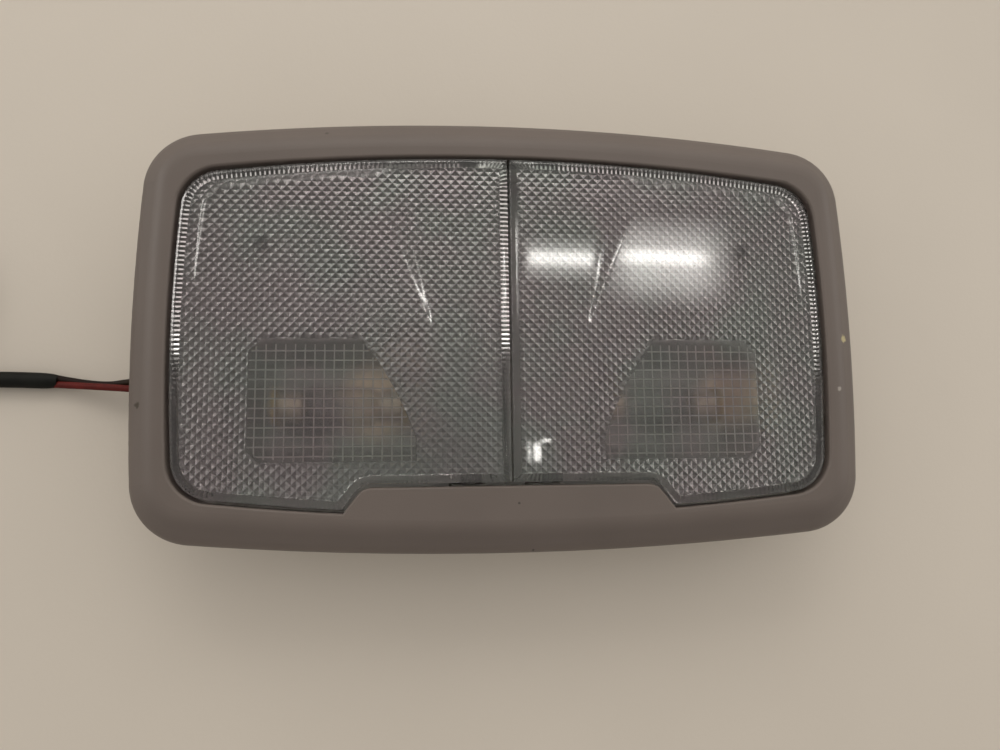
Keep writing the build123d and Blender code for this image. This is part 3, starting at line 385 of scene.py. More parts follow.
def dress_node(node, material):
    """Gives a piece of the solid model one material all over."""
    dress(bpy.data.objects[node], material)


def facing(place, look, side):
    """A transform at a place, in metres, with a way to look and a right-hand side."""
    turn = Matrix((side, side.cross(look), -look)).transposed().to_4x4()
    return Matrix.Translation(place) @ turn


def add_block(shape, low, high):
    """A box between two corners, in millimetres."""
    low, high = metres((low, high))
    middle = (low + high) / 2
    size = high - low
    place = Matrix.Translation(middle) @ Matrix.Diagonal((*size, 1.0))
    bmesh.ops.create_cube(shape, size=1.0, matrix=place)


def add_pin(shape, start, end, radius):
    """A round pin between two points, in millimetres."""
    start, end = metres((start, end))
    axis = end - start
    turn = axis.to_track_quat("Z", "Y").to_matrix().to_4x4()
    bmesh.ops.create_cone(
        shape,
        cap_ends=True,
        segments=PIN_SIDES,
        radius1=radius * MM,
        radius2=radius * MM,
        depth=axis.length,
        matrix=Matrix.Translation((start + end) / 2) @ turn,
    )


# Node helpers


def add_node(tree, kind, **settings):
    """A new node with its settings."""
    node = tree.nodes.new(kind)
    for key, value in settings.items():
        setattr(node, key, value)
    return node


def noise_on_object(tree, scale):
    """A noise pattern on the piece's own coordinates, in features per metre."""
    where = add_node(tree, "ShaderNodeTexCoord")
    noise = add_node(tree, "ShaderNodeTexNoise")
    noise.inputs["Scale"].default_value = scale
    noise.inputs["Detail"].default_value = NOISE_DETAIL
    noise.inputs["Roughness"].default_value = NOISE_ROUGHNESS
    tree.links.new(where.outputs["Object"], noise.inputs["Vector"])
    return noise.outputs["Fac"]


def ramp_between(tree, factor, stops):
    """A colour ramp through (place, colour) stops."""
    ramp = add_node(tree, "ShaderNodeValToRGB")
    elements = ramp.color_ramp.elements
    while len(elements) < len(stops):
        elements.new(1.0)
    for element, (place, colour) in zip(elements, stops):
        element.position = place
        element.color = (*colour, 1.0)
    tree.links.new(factor, ramp.inputs["Fac"])
    return ramp.outputs["Color"]


def range_between(tree, factor, low, high):
    """A 0 to 1 pattern spread between two values."""
    spread = add_node(tree, "ShaderNodeMapRange")
    spread.inputs["To Min"].default_value = low
    spread.inputs["To Max"].default_value = high
    tree.links.new(factor, spread.inputs["Value"])
    return spread.outputs["Result"]


def smooth_rise(tree, value, start, end):
    """A smooth change from 0 where a value is at its start to 1 at its end."""
    rise = add_node(tree, "ShaderNodeMapRange", interpolation_type="SMOOTHSTEP")
    rise.inputs["From Min"].default_value = start
    rise.inputs["From Max"].default_value = end
    tree.links.new(value, rise.inputs["Value"])
    return rise.outputs["Result"]


def combine(tree, operation, first, second):
    """Two values put together; the second may be a plain number."""
    step = add_node(tree, "ShaderNodeMath", operation=operation)
    tree.links.new(first, step.inputs[0])
    if isinstance(second, float):
        step.inputs[1].default_value = second
    else:
        tree.links.new(second, step.inputs[1])
    return step.outputs[0]


def bump_from(tree, height, depth):
    """A bump of the given depth in metres."""
    bump = add_node(tree, "ShaderNodeBump")
    bump.inputs["Strength"].default_value = GRAIN_STRENGTH
    bump.inputs["Distance"].default_value = depth
    tree.links.new(height, bump.inputs["Height"])
    return bump.outputs["Normal"]


def mix_colours(tree, factor, first, second):
    """Two colours mixed by a factor."""
    mix = add_node(tree, "ShaderNodeMix", data_type="RGBA")
    tree.links.new(factor, mix.inputs["Factor"])
    for socket, colour in (("A", first), ("B", second)):
        slot = next(s for s in mix.inputs if s.name == socket and s.type == "RGBA")
        if isinstance(colour, tuple):
            slot.default_value = (*colour, 1.0)
        else:
            tree.links.new(colour, slot)
    return next(s for s in mix.outputs if s.type == "RGBA")


def paint_over(material, factor, colour):
    """Mixes a colour into a finish where the factor is high."""
    tree = material.node_tree
    base = tree.nodes["Principled BSDF"].inputs["Base Color"]
    under = base.links[0].from_socket
    tree.links.new(mix_colours(tree, factor, under, colour), base)


def spot_factor(tree, place, size):
    """An uneven spot round a place in plan, both in millimetres."""
    where = add_node(tree, "ShaderNodeTexCoord")
    flat = add_node(tree, "ShaderNodeMapping")
    flat.inputs["Scale"].default_value = (1.0, 1.0, 0.0)
    reach = add_node(tree, "ShaderNodeVectorMath", operation="DISTANCE")
    reach.inputs[1].default_value = (place[0] * MM, place[1] * MM, 0.0)
    ragged = add_node(tree, "ShaderNodeMath", operation="MULTIPLY_ADD")
    ragged.inputs[1].default_value = size * MM
    tree.links.new(where.outputs["Object"], flat.inputs["Vector"])
    tree.links.new(flat.outputs["Vector"], reach.inputs[0])
    tree.links.new(noise_on_object(tree, SPOT_EDGE), ragged.inputs[0])
    tree.links.new(reach.outputs["Value"], ragged.inputs[2])
    return smooth_rise(tree, ragged.outputs[0], *(share * size * MM for share in SPOT_FADE))


def paint_spots(material, spots):
    """Paints uneven spots over a finish."""
    for place, size, colour in spots:
        paint_over(material, spot_factor(material.node_tree, place, size), colour)


def shade(colour, share):
    """A colour made darker or lighter."""
    return tuple(min(1.0, share * part) for part in colour)


def new_material(name):
    """A new material, its nodes and its shader."""
    material = bpy.data.materials.new(name)
    material.use_nodes = True
    tree = material.node_tree
    return material, tree, tree.nodes["Principled BSDF"]


def finish(name, colour=None):
    """A moulded or metal finish: two tones in blotches, uneven gloss and a fine grain."""
    surface = SURFACES[name]
    tones = TONES[name] if colour is None else [shade(colour, share) for share in SHADES[name]]
    material, tree, shader = new_material(name)
    shader.inputs["Metallic"].default_value = surface.metallic
    shader.inputs["Specular IOR Level"].default_value = surface.specular
    patches = noise_on_object(tree, surface.blotch)
    mottled = ramp_between(tree, patches, tuple(zip(BLOTCH_STOPS, tones)))
    tree.links.new(mottled, shader.inputs["Base Color"])
    gloss = range_between(tree, patches, *surface.roughness)
    tree.links.new(gloss, shader.inputs["Roughness"])
    grain = noise_on_object(tree, surface.grain)
    tree.links.new(bump_from(tree, grain, surface.grain_depth * MM), shader.inputs["Normal"])
    return material


def clear_plastic(name, tint, roughness, haze=0.0):
    """Clear moulded plastic with a faint uneven tint, hazy where it scatters light."""
    material, tree, shader = new_material(name)
    shader.inputs["Transmission Weight"].default_value = 1.0 - haze
    shader.inputs["IOR"].default_value = PLASTIC_IOR
    shader.inputs["Roughness"].default_value = roughness
    patches = noise_on_object(tree, TINT_PATCHES)
    tints = [
        tuple(part * cast for part, cast in zip(tint, colours)) for colours in (PINKISH, GREENISH)
    ]
    tree.links.new(
        ramp_between(tree, patches, tuple(zip(TINT_STOPS, tints))), shader.inputs["Base Color"]
    )
    return material


def node_group(name, inputs):
    """A new Geometry Nodes tree, its inputs' identifiers and its input node."""
    tree = bpy.data.node_groups.new(name, "GeometryNodeTree")
    tree.interface.new_socket("Geometry", in_out="OUTPUT", socket_type="NodeSocketGeometry")
    sockets = {}
    for label, kind in inputs:
        distance = kind == "Distance"
        kind = "NodeSocketFloat" if distance else f"NodeSocket{kind}"
        socket = tree.interface.new_socket(label, in_out="INPUT", socket_type=kind)
        if distance:
            socket.subtype = "DISTANCE"
        sockets[label] = socket.identifier
    return tree, sockets, add_node(tree, "NodeGroupInput")


def carried_mark(tree, name, kind):
    """A mark that a mesh carries, as values for a tree."""
    mark = add_node(tree, "GeometryNodeInputNamedAttribute", data_type=kind)
    mark.inputs["Name"].default_value = name
    return mark.outputs["Attribute"]


# Lens outline


def bow_radius(half_chord, bow):
    """Radius of a bowed side, from half its length and its bow."""
    return (half_chord**2 + bow**2) / (2 * bow)


def outline_circles(half, top, bottom):
    """Centre and radius of an outline's bowed top, side and bottom."""
    corner_x = half - OPENING_SIDE_BOW
    upper = top - OPENING_TOP_BOW
    lower = bottom + OPENING_BOTTOM_BOW
    top_radius = bow_radius(corner_x, OPENING_TOP_BOW)
    side_radius = bow_radius((upper - lower) / 2, OPENING_SIDE_BOW)
    bottom_radius = bow_radius(corner_x, OPENING_BOTTOM_BOW)
    return (
        (np.array((0.0, top - top_radius)), top_radius),
        (np.array((half - side_radius, (upper + lower) / 2)), side_radius),
        (np.array((0.0, bottom + bottom_radius)), bottom_radius),
    )


def corner_middle(first, second, corner):
    """Middle of the rounding between two bowed sides."""
    (start, start_radius), (end, end_radius) = first, second
    start_radius = start_radius - corner
    end_radius = end_radius - corner
    across = end - start
    reach = np.hypot(*across)
    along = (reach**2 + start_radius**2 - end_radius**2) / (2 * reach)
    rise = math.sqrt(start_radius**2 - along**2)
    unit = across / reach
    normal = np.array((-unit[1], unit[0]))
    foot = start + unit * along
    return max((foot + normal * rise, foot - normal * rise), key=lambda point: point[0])


def even_count(length, step):
    """An even number of steps along a length."""
    return 2 * max(1, round(length / step / 2))


def arc_points(centre, radius, start, end, step):
    """Points along an arc, without its last."""
    count = even_count(abs(end - start) * radius, step)
    angles = np.linspace(start, end, count, endpoint=False)
    return centre + radius * np.column_stack((np.cos(angles), np.sin(angles)))


def line_points(start, end, step):
    """Points along a line, without its last."""
    start, end = np.array(start), np.array(end)
    count = even_count(np.hypot(*(end - start)), step)
    share = np.linspace(0.0, 1.0, count, endpoint=False)[:, None]
    return start + (end - start) * share


def angle_from(centre, point):
    """Angle of a point seen from a centre."""
    return math.atan2(point[1] - centre[1], point[0] - centre[0])


def lens_runs(step):
    """The right lens's edge as three clockwise runs: round the outside, along the tab and up the seam."""
    top, side, bottom = outline_circles(
        OPENING_HALF - LENS_GAP, OPENING_TOP - LENS_GAP, OPENING_BOTTOM + LENS_GAP
    )
    corner = OPENING_CORNER - LENS_GAP
    upper = corner_middle(top, side, corner)
    lower = corner_middle(side, bottom, corner)
    seam = SEAM_GAP / 2
    turns = (
        math.acos(seam / top[1]),
        angle_from(top[0], upper),
        angle_from(side[0], upper),
        angle_from(side[0], lower),
        angle_from(bottom[0], lower),
    )
    slope = TAB_RAMP / TAB_RISE
    lean = math.hypot(1.0, slope)
    tab_y = TAB_TOP_Y + LENS_GAP
    tab_end = np.array((TAB_TOP_HALF + LENS_GAP * (lean - slope), tab_y))
    down = np.array((slope, -1.0))
    from_middle = tab_end - bottom[0]
    half_b = from_middle @ down
    spare = bottom[1] ** 2 - from_middle @ from_middle
    run = (math.sqrt(half_b**2 + lean**2 * spare) - half_b) / lean**2
    ramp_foot = tab_end + down * run
    tab_round = TAB_CORNER + LENS_GAP
    tab_turn = math.atan2(1.0, slope)
    tangent = tab_round * math.tan(tab_turn / 2)
    ramp_top = tab_end + down / lean * tangent
    round_middle = np.array((tab_end[0] - tangent, tab_y - tab_round))
    quarter = math.pi / 2
    foot_angle = angle_from(bottom[0], ramp_foot)
    seam_top = top[0] + top[1] * np.array((math.cos(turns[0]), math.sin(turns[0])))
    end = np.array([seam_top])
    outer = (
        arc_points(*top, turns[0], turns[1], step),
        arc_points(upper, corner, turns[1], turns[2], step),
        arc_points(*side, turns[2], turns[3], step),
        arc_points(lower, corner, turns[3], turns[4], step),
        arc_points(*bottom, turns[4], foot_angle, step),
        ramp_foot[None],
    )
    tab = (
        line_points(ramp_foot, ramp_top, step),
        arc_points(round_middle, tab_round, quarter - tab_turn, quarter, step),
        line_points((round_middle[0], tab_y), (seam, tab_y), step),
        np.array([(seam, tab_y)]),
    )
    middle = (line_points((seam, tab_y), seam_top, step), end)
    return [np.vstack(run) for run in (outer, tab, middle)]


def turn_between(before, after):
    """Angle by which the edge turns inwards from one run to the next."""
    first = before[-1] - before[-2]
    second = after[1] - after[0]
    cross = first[0] * second[1] - first[1] * second[0]
    return -math.atan2(cross, first @ second)


def inset_loop(runs, inset):
    """The lens's edge moved inwards, with the same number of points."""
    loop = []
    for place, run in enumerate(runs):
        following = runs[(place + 1) % len(runs)]
        trim_start = inset * math.tan(turn_between(runs[place - 1], run) / 2)
        trim_end = inset * math.tan(turn_between(run, following) / 2)
        lengths = np.concatenate(([0.0], np.cumsum(np.hypot(*np.diff(run, axis=0).T))))
        tangent = np.gradient(run, lengths, axis=0)
        reach = lengths[-1]
        near_start = np.clip(1 - lengths / CORNER_REACH, 0.0, 1.0)
        near_end = np.clip(1 - (reach - lengths) / CORNER_REACH, 0.0, 1.0)
        at = (lengths + trim_start * near_start - trim_end * near_end)[:-1]
        x, y, along_x, along_y = (
            np.interp(at, lengths, values)
            for values in (run[:, 0], run[:, 1], tangent[:, 0], tangent[:, 1])
        )
        scale = inset / np.hypot(along_x, along_y)
        loop.append(np.column_stack((x + along_y * scale, y - along_x * scale)))
    return np.vstack(loop)


# Lens surfaces


def soft_min(first, second, blend):
    """The lower of two heights, with a rounded change between them."""
    near = np.maximum(blend - np.abs(first - second), 0.0) / blend
    return np.minimum(first, second) - near**2 * blend / 4


def soft_max(first, second, blend):
    """The higher of two heights, with a rounded change between them."""
    return -soft_min(-first, -second, blend)


def pad_edge_distance(x, y):
    """Distance inwards from the press pad's outer edge."""
    top, side, _ = outline_circles(PAD_SIDE_X, PAD_TOP_Y, OPENING_BOTTOM)
    below_top = top[1] - np.hypot(x - top[0][0], y - top[0][1])
    inside_side = side[1] - np.hypot(x - side[0][0], y - side[0][1])
    nearest = np.minimum(below_top, inside_side)
    short_top = np.maximum(PAD_CORNER - below_top, 0.0)
    short_side = np.maximum(PAD_CORNER - inside_side, 0.0)
    in_corner = (short_top > 0) & (short_side > 0)
    return np.where(in_corner, PAD_CORNER - np.hypot(short_top, short_side), nearest)


def face_height(x, y):
    """Height of the right lens's outer face, with its raised press pad."""
    crown = LENS_TOP_Z - x**2 / (2 * LENS_CROWN_RADIUS)
    share = (y - PAD_FOOT_Y) / (PAD_TOP_Y - PAD_FOOT_Y)
    tilt = soft_max(PAD_RISE * share, np.zeros_like(x), PAD_FOOT_BLEND)
    crease_x = PAD_CREASE_FOOT_X + (PAD_CREASE_TOP_X - PAD_CREASE_FOOT_X) * share
    facet = (x - crease_x) * PAD_RISE / PAD_CREASE_RUN
    facet = soft_max(facet, np.zeros_like(x), PAD_CREASE_BLEND)
    edge = soft_max(pad_edge_distance(x, y) * PAD_EDGE_SLOPE, np.zeros_like(x), PAD_EDGE_BLEND)
    pad = soft_min(soft_min(tilt, facet, PAD_CREASE_BLEND), edge, PAD_EDGE_BLEND)
    return crown + np.maximum(pad, 0.0)


def under_height(x):
    """Height of the lens's underside between its bumps."""
    return LENS_TOP_Z - LENS_WALL - x**2 / (2 * LENS_CROWN_RADIUS)


def inside_loop(points, loop):
    """Which points lie inside a closed loop."""
    x, y = points[:, 0], points[:, 1]
    result = np.zeros(len(points), bool)
    for (ax, ay), (bx, by) in zip(loop, np.roll(loop, -1, axis=0)):
        if ay == by:
            continue
        crossed = (ay > y) != (by > y)
        result ^= crossed & (x < (bx - ax) * (y - ay) / (by - ay) + ax)
    return result


def loop_clearance(points, loop):
    """Distance from each point to a loop's nearest corner."""
    nearest = np.full(len(points), np.inf)
    for corner in loop:
        nearest = np.minimum(nearest, np.hypot(*(points - corner).T))
    return nearest


def fill_loops(outer, holes, xs, ys, margin):
    """Grid cells inside the loops, and triangles between them and the loops.

    Gives the grid's points in use, their column and row, the cells' corners, which cells are
    whole, and the triangles. Corners count the loops' points first and then the grid's.
    """
    columns, rows = len(xs), len(ys)
    grid = np.column_stack((np.tile(xs, rows), np.repeat(ys, columns)))
    free = inside_loop(grid, outer) & (loop_clearance(grid, outer) > margin)
    for hole in holes:
        free &= ~inside_loop(grid, hole) & (loop_clearance(grid, hole) > margin)
    free = free.reshape(rows, columns)
    cells = free[:-1, :-1] & free[1:, :-1] & free[:-1, 1:] & free[1:, 1:]
    padded = np.pad(cells, 1)
    around = padded[1:, 1:] & padded[:-1, 1:] & padded[1:, :-1] & padded[:-1, :-1]
    loops = [outer, *holes]
    first = sum(len(loop) for loop in loops)
    number = np.full((rows, columns), -1)
    number[free] = first + np.arange(free.sum())
    places = np.argwhere(free)[:, ::-1]
    nodes = np.column_stack((xs[places[:, 0]], ys[places[:, 1]]))
    edges = []
    begin = 0
    for loop in loops:
        count = len(loop)
        edges.extend((begin + i, begin + (i + 1) % count) for i in range(count))
        begin += count
    back = [*range(first), *number[free & ~around]]
    short = {corner: i for i, corner in enumerate(back)}
    for row, column in np.argwhere(padded[1:, 1:-1] != padded[:-1, 1:-1]):
        edges.append((short[number[row, column]], short[number[row, column + 1]]))
    for row, column in np.argwhere(padded[1:-1, 1:] != padded[1:-1, :-1]):
        edges.append((short[number[row, column]], short[number[row + 1, column]]))
    everything = np.vstack((*loops, nodes))
    flat = [Vector(everything[i]) for i in back]
    points, _, faces, origins, _, _ = delaunay_2d_cdt(flat, edges, [], 0, FILL_TOLERANCE)
    middles = np.array([np.mean([points[i] for i in face], axis=0) for face in faces])
    wanted = inside_loop(middles, outer)
    for hole in holes:
        wanted &= ~inside_loop(middles, hole)
    column = np.searchsorted(xs, middles[:, 0])
    row = np.searchsorted(ys, middles[:, 1])
    wanted &= ~padded[row, column]
    triangles = [
        tuple(back[origins[i][0]] for i in face) for face, keep in zip(faces, wanted) if keep
    ]
    return nodes, places, number, cells, triangles


class Moulding:
    """Points and faces of one moulded piece, in millimetres, with its pattern marks."""

    def __init__(self):
        self.points = []
        self.faces = []
        self.smooth = []
        self.fields = []
        self.marks = {"tip": [], "flute": [], "groove": []}

    def add_points(self, xy, z, **marks):
        """Adds points and gives their numbers."""
        begin = len(self.points)
        self.points.extend((x, y, height) for (x, y), height in zip(xy, z))
        for name, values in self.marks.items():
            values.extend(marks.get(name, np.zeros(len(xy))))
        return np.arange(begin, len(self.points))

    def add_faces(self, faces, smooth, field=CLEAR_FIELD):
        """Adds faces, all smooth or all flat, in one of the lens's fields."""
        self.faces.extend(tuple(int(corner) for corner in face) for face in faces)
        self.smooth.extend([smooth] * len(faces))
        self.fields.extend([field] * len(faces))

    def add_band(self, first, second, smooth):
        """Joins two rings of points."""
        ring = zip(first, np.roll(first, -1), np.roll(second, -1), second)
        self.add_faces(list(ring), smooth)

    def mesh(self, name, side):
        """The mesh in metres, mirrored for the left side."""
        mesh = bpy.data.meshes.new(name)
        place = np.array(self.points) * MM
        place[:, 0] *= side
        mesh.from_pydata(place.tolist(), [], self.faces)
        mesh.polygons.foreach_set("use_smooth", self.smooth)
        for mark, values in self.marks.items():
            layer = mesh.attributes.new(mark, "FLOAT", "POINT")
            layer.data.foreach_set("value", np.array(values, float))
        layer = mesh.attributes.new("field", "INT", "FACE")
        layer.data.foreach_set("value", self.fields)
        shape = bmesh.new()
        shape.from_mesh(mesh)
        bmesh.ops.recalc_face_normals(shape, faces=shape.faces)
        shape.to_mesh(mesh)
        shape.free()
        return mesh


def window_loop():
    """The right lens's gridded window, clockwise from its slanted side's foot."""
    start = np.array((WINDOW_LEFT_X, WINDOW_BOTTOM_Y + WINDOW_FOOT))
    end = np.array((WINDOW_LEFT_X + WINDOW_SLANT, WINDOW_TOP_Y))
    share = np.linspace(0.0, 1.0, even_count(np.hypot(*(end - start)), WINDOW_STEP) + 1)[:-1, None]
    along = end - start
    across = np.array((-along[1], along[0])) / np.hypot(*along)
    slanted = start + along * share + across * 4 * WINDOW_SLANT_BOW * share * (1 - share)
    corners = (
        end,
        (WINDOW_RIGHT_X - WINDOW_CHAMFER, WINDOW_TOP_Y),
        (WINDOW_RIGHT_X, WINDOW_TOP_Y - WINDOW_CHAMFER),
        (WINDOW_RIGHT_X, WINDOW_BOTTOM_Y + WINDOW_CHAMFER),
        (WINDOW_RIGHT_X - WINDOW_CHAMFER, WINDOW_BOTTOM_Y),
        (WINDOW_LEFT_X, WINDOW_BOTTOM_Y),
        start,
    )
    runs = [line_points(a, b, WINDOW_STEP) for a, b in zip(corners, corners[1:])]
    return np.vstack((slanted, *runs))


def grid_lines(first, end, pitch):
    """Places across the window's grid: each line's foot, ridge and foot, then the gap's steps."""
    middles = np.arange(first, end - pitch, -pitch)
    gap = np.linspace(GRID_LINE_HALF, pitch - GRID_LINE_HALF, GRID_GAP_STEPS + 1)[:-1]
    return np.sort(np.add.outer(middles, (-GRID_LINE_HALF, 0.0, *gap)).ravel())


def face_lines(begin, end, fine_runs):
    """Places across the outer face, closer together where it bends."""
    places = []
    for fine_from, fine_to in fine_runs:
        places.append(np.arange(begin, fine_from, FACE_STEP))
        places.append(np.arange(fine_from, fine_to, FACE_FINE_STEP))
        begin = fine_to
    places.append(np.arange(begin, end, FACE_STEP))
    return np.concatenate(places)


def add_face(moulding, edge_ring, edge_loop):
    """The lens's smooth outer face inside its rounded edge."""
    low, high = edge_loop.min(axis=0), edge_loop.max(axis=0)
    xs = face_lines(low[0], high[0], FACE_FINE_X)
    ys = face_lines(low[1], high[1], FACE_FINE_Y)
    nodes, _, number, cells, triangles = fill_loops(edge_loop, [], xs, ys, FACE_MARGIN)
    inner = moulding.add_points(nodes, face_height(nodes[:, 0], nodes[:, 1]))
    corners = np.concatenate((edge_ring, inner))
    quads = [
        corners[[number[r, c], number[r, c + 1], number[r + 1, c + 1], number[r + 1, c]]]
        for r, c in np.argwhere(cells)
    ]
    moulding.add_faces(quads, True)
    moulding.add_faces(corners[np.array(triangles)], True)


def bump_share(points, origin, pitch):
    """How far down the bumps reach at some points, from 0 between them to 1 at their tips."""
    across, along = ((points - origin) / (pitch / 2)).T
    rising = np.abs((across + along) % 2 - 1)
    falling = np.abs((across - along) % 2 - 1)
    return 1 - np.maximum(rising, falling)


def add_bumps(moulding, rim_ring, rim_loop, window_ring, window, pitch):
    """The pattern of small pyramids under the lens, round the window."""
    low, high = rim_loop.min(axis=0), rim_loop.max(axis=0)
    step = pitch / 2 / BUMP_SPLIT
    xs = np.arange(low[0], high[0], step)
    ys = np.arange(low[1], high[1], step)
    nodes, _, number, cells, triangles = fill_loops(rim_loop, [window], xs, ys, PATTERN_MARGIN)
    inner = moulding.add_points(nodes, under_height(nodes[:, 0]), tip=bump_share(nodes, low, pitch))
    corners = np.concatenate((rim_ring, window_ring, inner))
    facets = []
    for r, c in np.argwhere(cells):
        a, b = number[r, c], number[r, c + 1]
        d, e = number[r + 1, c], number[r + 1, c + 1]
        even = (r // BUMP_SPLIT + c // BUMP_SPLIT) % 2 == 0
        facets.extend(((a, b, e), (a, e, d)) if even else ((a, b, d), (b, e, d)))
    moulding.add_faces(corners[np.array(facets)], False, BUMP_FIELD)
    moulding.add_faces(corners[np.array(triangles)], False, BUMP_FIELD)


def add_window(moulding, window_ring, window, pitch):
    """The window's clear field with its fine grid."""
    xs = grid_lines(GRID_FIRST_X, WINDOW_LEFT_X, pitch)
    ys = grid_lines(GRID_FIRST_Y, WINDOW_BOTTOM_Y, pitch)
    nodes, places, number, cells, triangles = fill_loops(window, [], xs, ys, WINDOW_MARGIN)
    turn = GRID_LINE_STEPS + GRID_GAP_STEPS
    crest = GRID_LINE_STEPS // 2
    columns, rows = places.T % turn
    ridge = np.where(rows == crest, 1.0, np.where(columns == crest, GRID_UPRIGHT_SHARE, 0.0))
    inner = moulding.add_points(nodes, under_height(nodes[:, 0]), groove=ridge)
    corners = np.concatenate((window_ring, inner))
    ribs, gaps = [], []
    for r, c in np.argwhere(cells):
        quad = corners[[number[r, c], number[r, c + 1], number[r + 1, c + 1], number[r + 1, c]]]
        (ribs if min(r % turn, c % turn) < GRID_LINE_STEPS else gaps).append(quad)
    moulding.add_faces(ribs, False, RIB_FIELD)
    moulding.add_faces(gaps, False, WINDOW_FIELD)
    moulding.add_faces(corners[np.array(triangles)], False, WINDOW_FIELD)


def lens_moulding(pitch, grid_pitch, flute_pitch, seam_flutes):
    """The right lens as one closed clear moulding."""
    moulding = Moulding()
    runs = lens_runs(flute_pitch / 2)
    edge_loop = inset_loop(runs, LENS_BEVEL_RUN + LENS_EDGE_ROUND)
    edge_z = face_height(edge_loop[:, 0], edge_loop[:, 1])
    rings = [moulding.add_points(edge_loop, edge_z)]
    bevel_drop = LENS_BEVEL_RUN * math.tan(LENS_BEVEL_TURN)
    radius = LENS_EDGE_ROUND / (1 - math.sin(LENS_BEVEL_TURN))
    for step in range(LENS_EDGE_STEPS + 1):
        turn = LENS_BEVEL_TURN + (math.pi / 2 - LENS_BEVEL_TURN) * step / LENS_EDGE_STEPS
        inset = radius * (1 - math.sin(turn))
        drop = bevel_drop + radius * (math.cos(LENS_BEVEL_TURN) - math.cos(turn))
        rings.append(moulding.add_points(inset_loop(runs, inset), edge_z - drop))
    rounded = len(rings)
    foot = np.full(len(edge_loop), LENS_SKIRT_Z)
    rings.append(moulding.add_points(inset_loop(runs, 0.0), foot))
    rings.append(moulding.add_points(inset_loop(runs, LENS_SKIRT_WALL), foot))
    fluted = np.concatenate([np.full(len(run) - 1, True) for run in runs])
    fluted[1 - len(runs[-1]):] = seam_flutes
    share = np.interp(edge_loop[:, 1], FLUTE_FADE_Y, FLUTE_FADE)
    flutes = (np.arange(len(edge_loop)) % 2) * fluted * share
    none = np.zeros(len(edge_loop))
    for inset, mark in (
        (LENS_SKIRT_WALL, none),
        (RIM_FLAT, none),
        (RIM_FLAT + FLUTE_LEAD_IN, flutes),
        (RIM_FLUTE_END - FLUTE_LEAD_IN, flutes),
        (RIM_FLUTE_END, none),
    ):
        at = inset_loop(runs, inset)
        rings.append(moulding.add_points(at, under_height(at[:, 0]), flute=mark))
    for place, (first, second) in enumerate(zip(rings, rings[1:])):
        moulding.add_band(first, second, 0 < place < rounded)
    bump_loop = inset_loop(runs, RIM_FLUTE_END + BUMP_WALL)
    origin = bump_loop.min(axis=0)
    window = window_loop()
    pane = window.mean(axis=0) + (window - window.mean(axis=0)) * PANE_SHARE
    bump_ring, window_ring = (
        moulding.add_points(loop, under_height(loop[:, 0]), tip=bump_share(loop, origin, pitch))
        for loop in (bump_loop, window)
    )
    pane_ring = moulding.add_points(pane, under_height(pane[:, 0]))
    moulding.add_band(rings[-1], bump_ring, False)
    moulding.add_band(window_ring, pane_ring, False)
    add_face(moulding, rings[0], edge_loop)
    add_bumps(moulding, bump_ring, bump_loop, window_ring, window, pitch)
    add_window(moulding, pane_ring, pane, grid_pitch)
    return moulding


def pattern_tree():
    """Pushes the marked points of a lens's underside down by the pattern's depths."""
    depths = (("Tip Depth", "tip"), ("Flute Depth", "flute"), ("Groove Depth", "groove"))
    tree, sockets, given = node_group(
        "LensPattern",
        (
            ("Geometry", "Geometry"),
            *((label, "Distance") for label, _ in depths),
            *((label, "Material") for label in FIELD_MATERIALS),
        ),
    )
    total = None
    for label, mark in depths:
        marked = carried_mark(tree, mark, "FLOAT")
        depth = combine(tree, "MULTIPLY", marked, given.outputs[label])
        total = depth if total is None else combine(tree, "ADD", total, depth)
    offset = add_node(tree, "ShaderNodeCombineXYZ")
    move = add_node(tree, "GeometryNodeSetPosition")
    realize = add_node(tree, "GeometryNodeRealizeInstances")
    out = add_node(tree, "NodeGroupOutput")
    tree.links.new(combine(tree, "MULTIPLY", total, -1.0), offset.inputs["Z"])
    tree.links.new(given.outputs["Geometry"], move.inputs["Geometry"])
    tree.links.new(offset.outputs["Vector"], move.inputs["Offset"])
    tree.links.new(move.outputs["Geometry"], realize.inputs["Geometry"])
    painted = realize.outputs["Geometry"]
    for field, label in enumerate(FIELD_MATERIALS):
        same = add_node(tree, "FunctionNodeCompare", data_type="INT", operation="EQUAL")
        carried, wanted = (socket for socket in same.inputs if socket.type == "INT")
        wanted.default_value = field
        paint = add_node(tree, "GeometryNodeSetMaterial")
        tree.links.new(carried_mark(tree, "field", "INT"), carried)
        tree.links.new(painted, paint.inputs["Geometry"])
        tree.links.new(same.outputs["Result"], paint.inputs["Selection"])
        tree.links.new(given.outputs[label], paint.inputs["Material"])
        painted = paint.outputs["Geometry"]
    tree.links.new(painted, out.inputs["Geometry"])
    return tree, sockets


# Settings

LENGTH = {"precision": 5, "unit": "LENGTH", "subtype": "DISTANCE"}
COLOUR = {"min": 0.0, "max": 1.0, "subtype": "COLOR"}
SHARE = {"min": 0.0, "max": 1.0, "subtype": "FACTOR"}


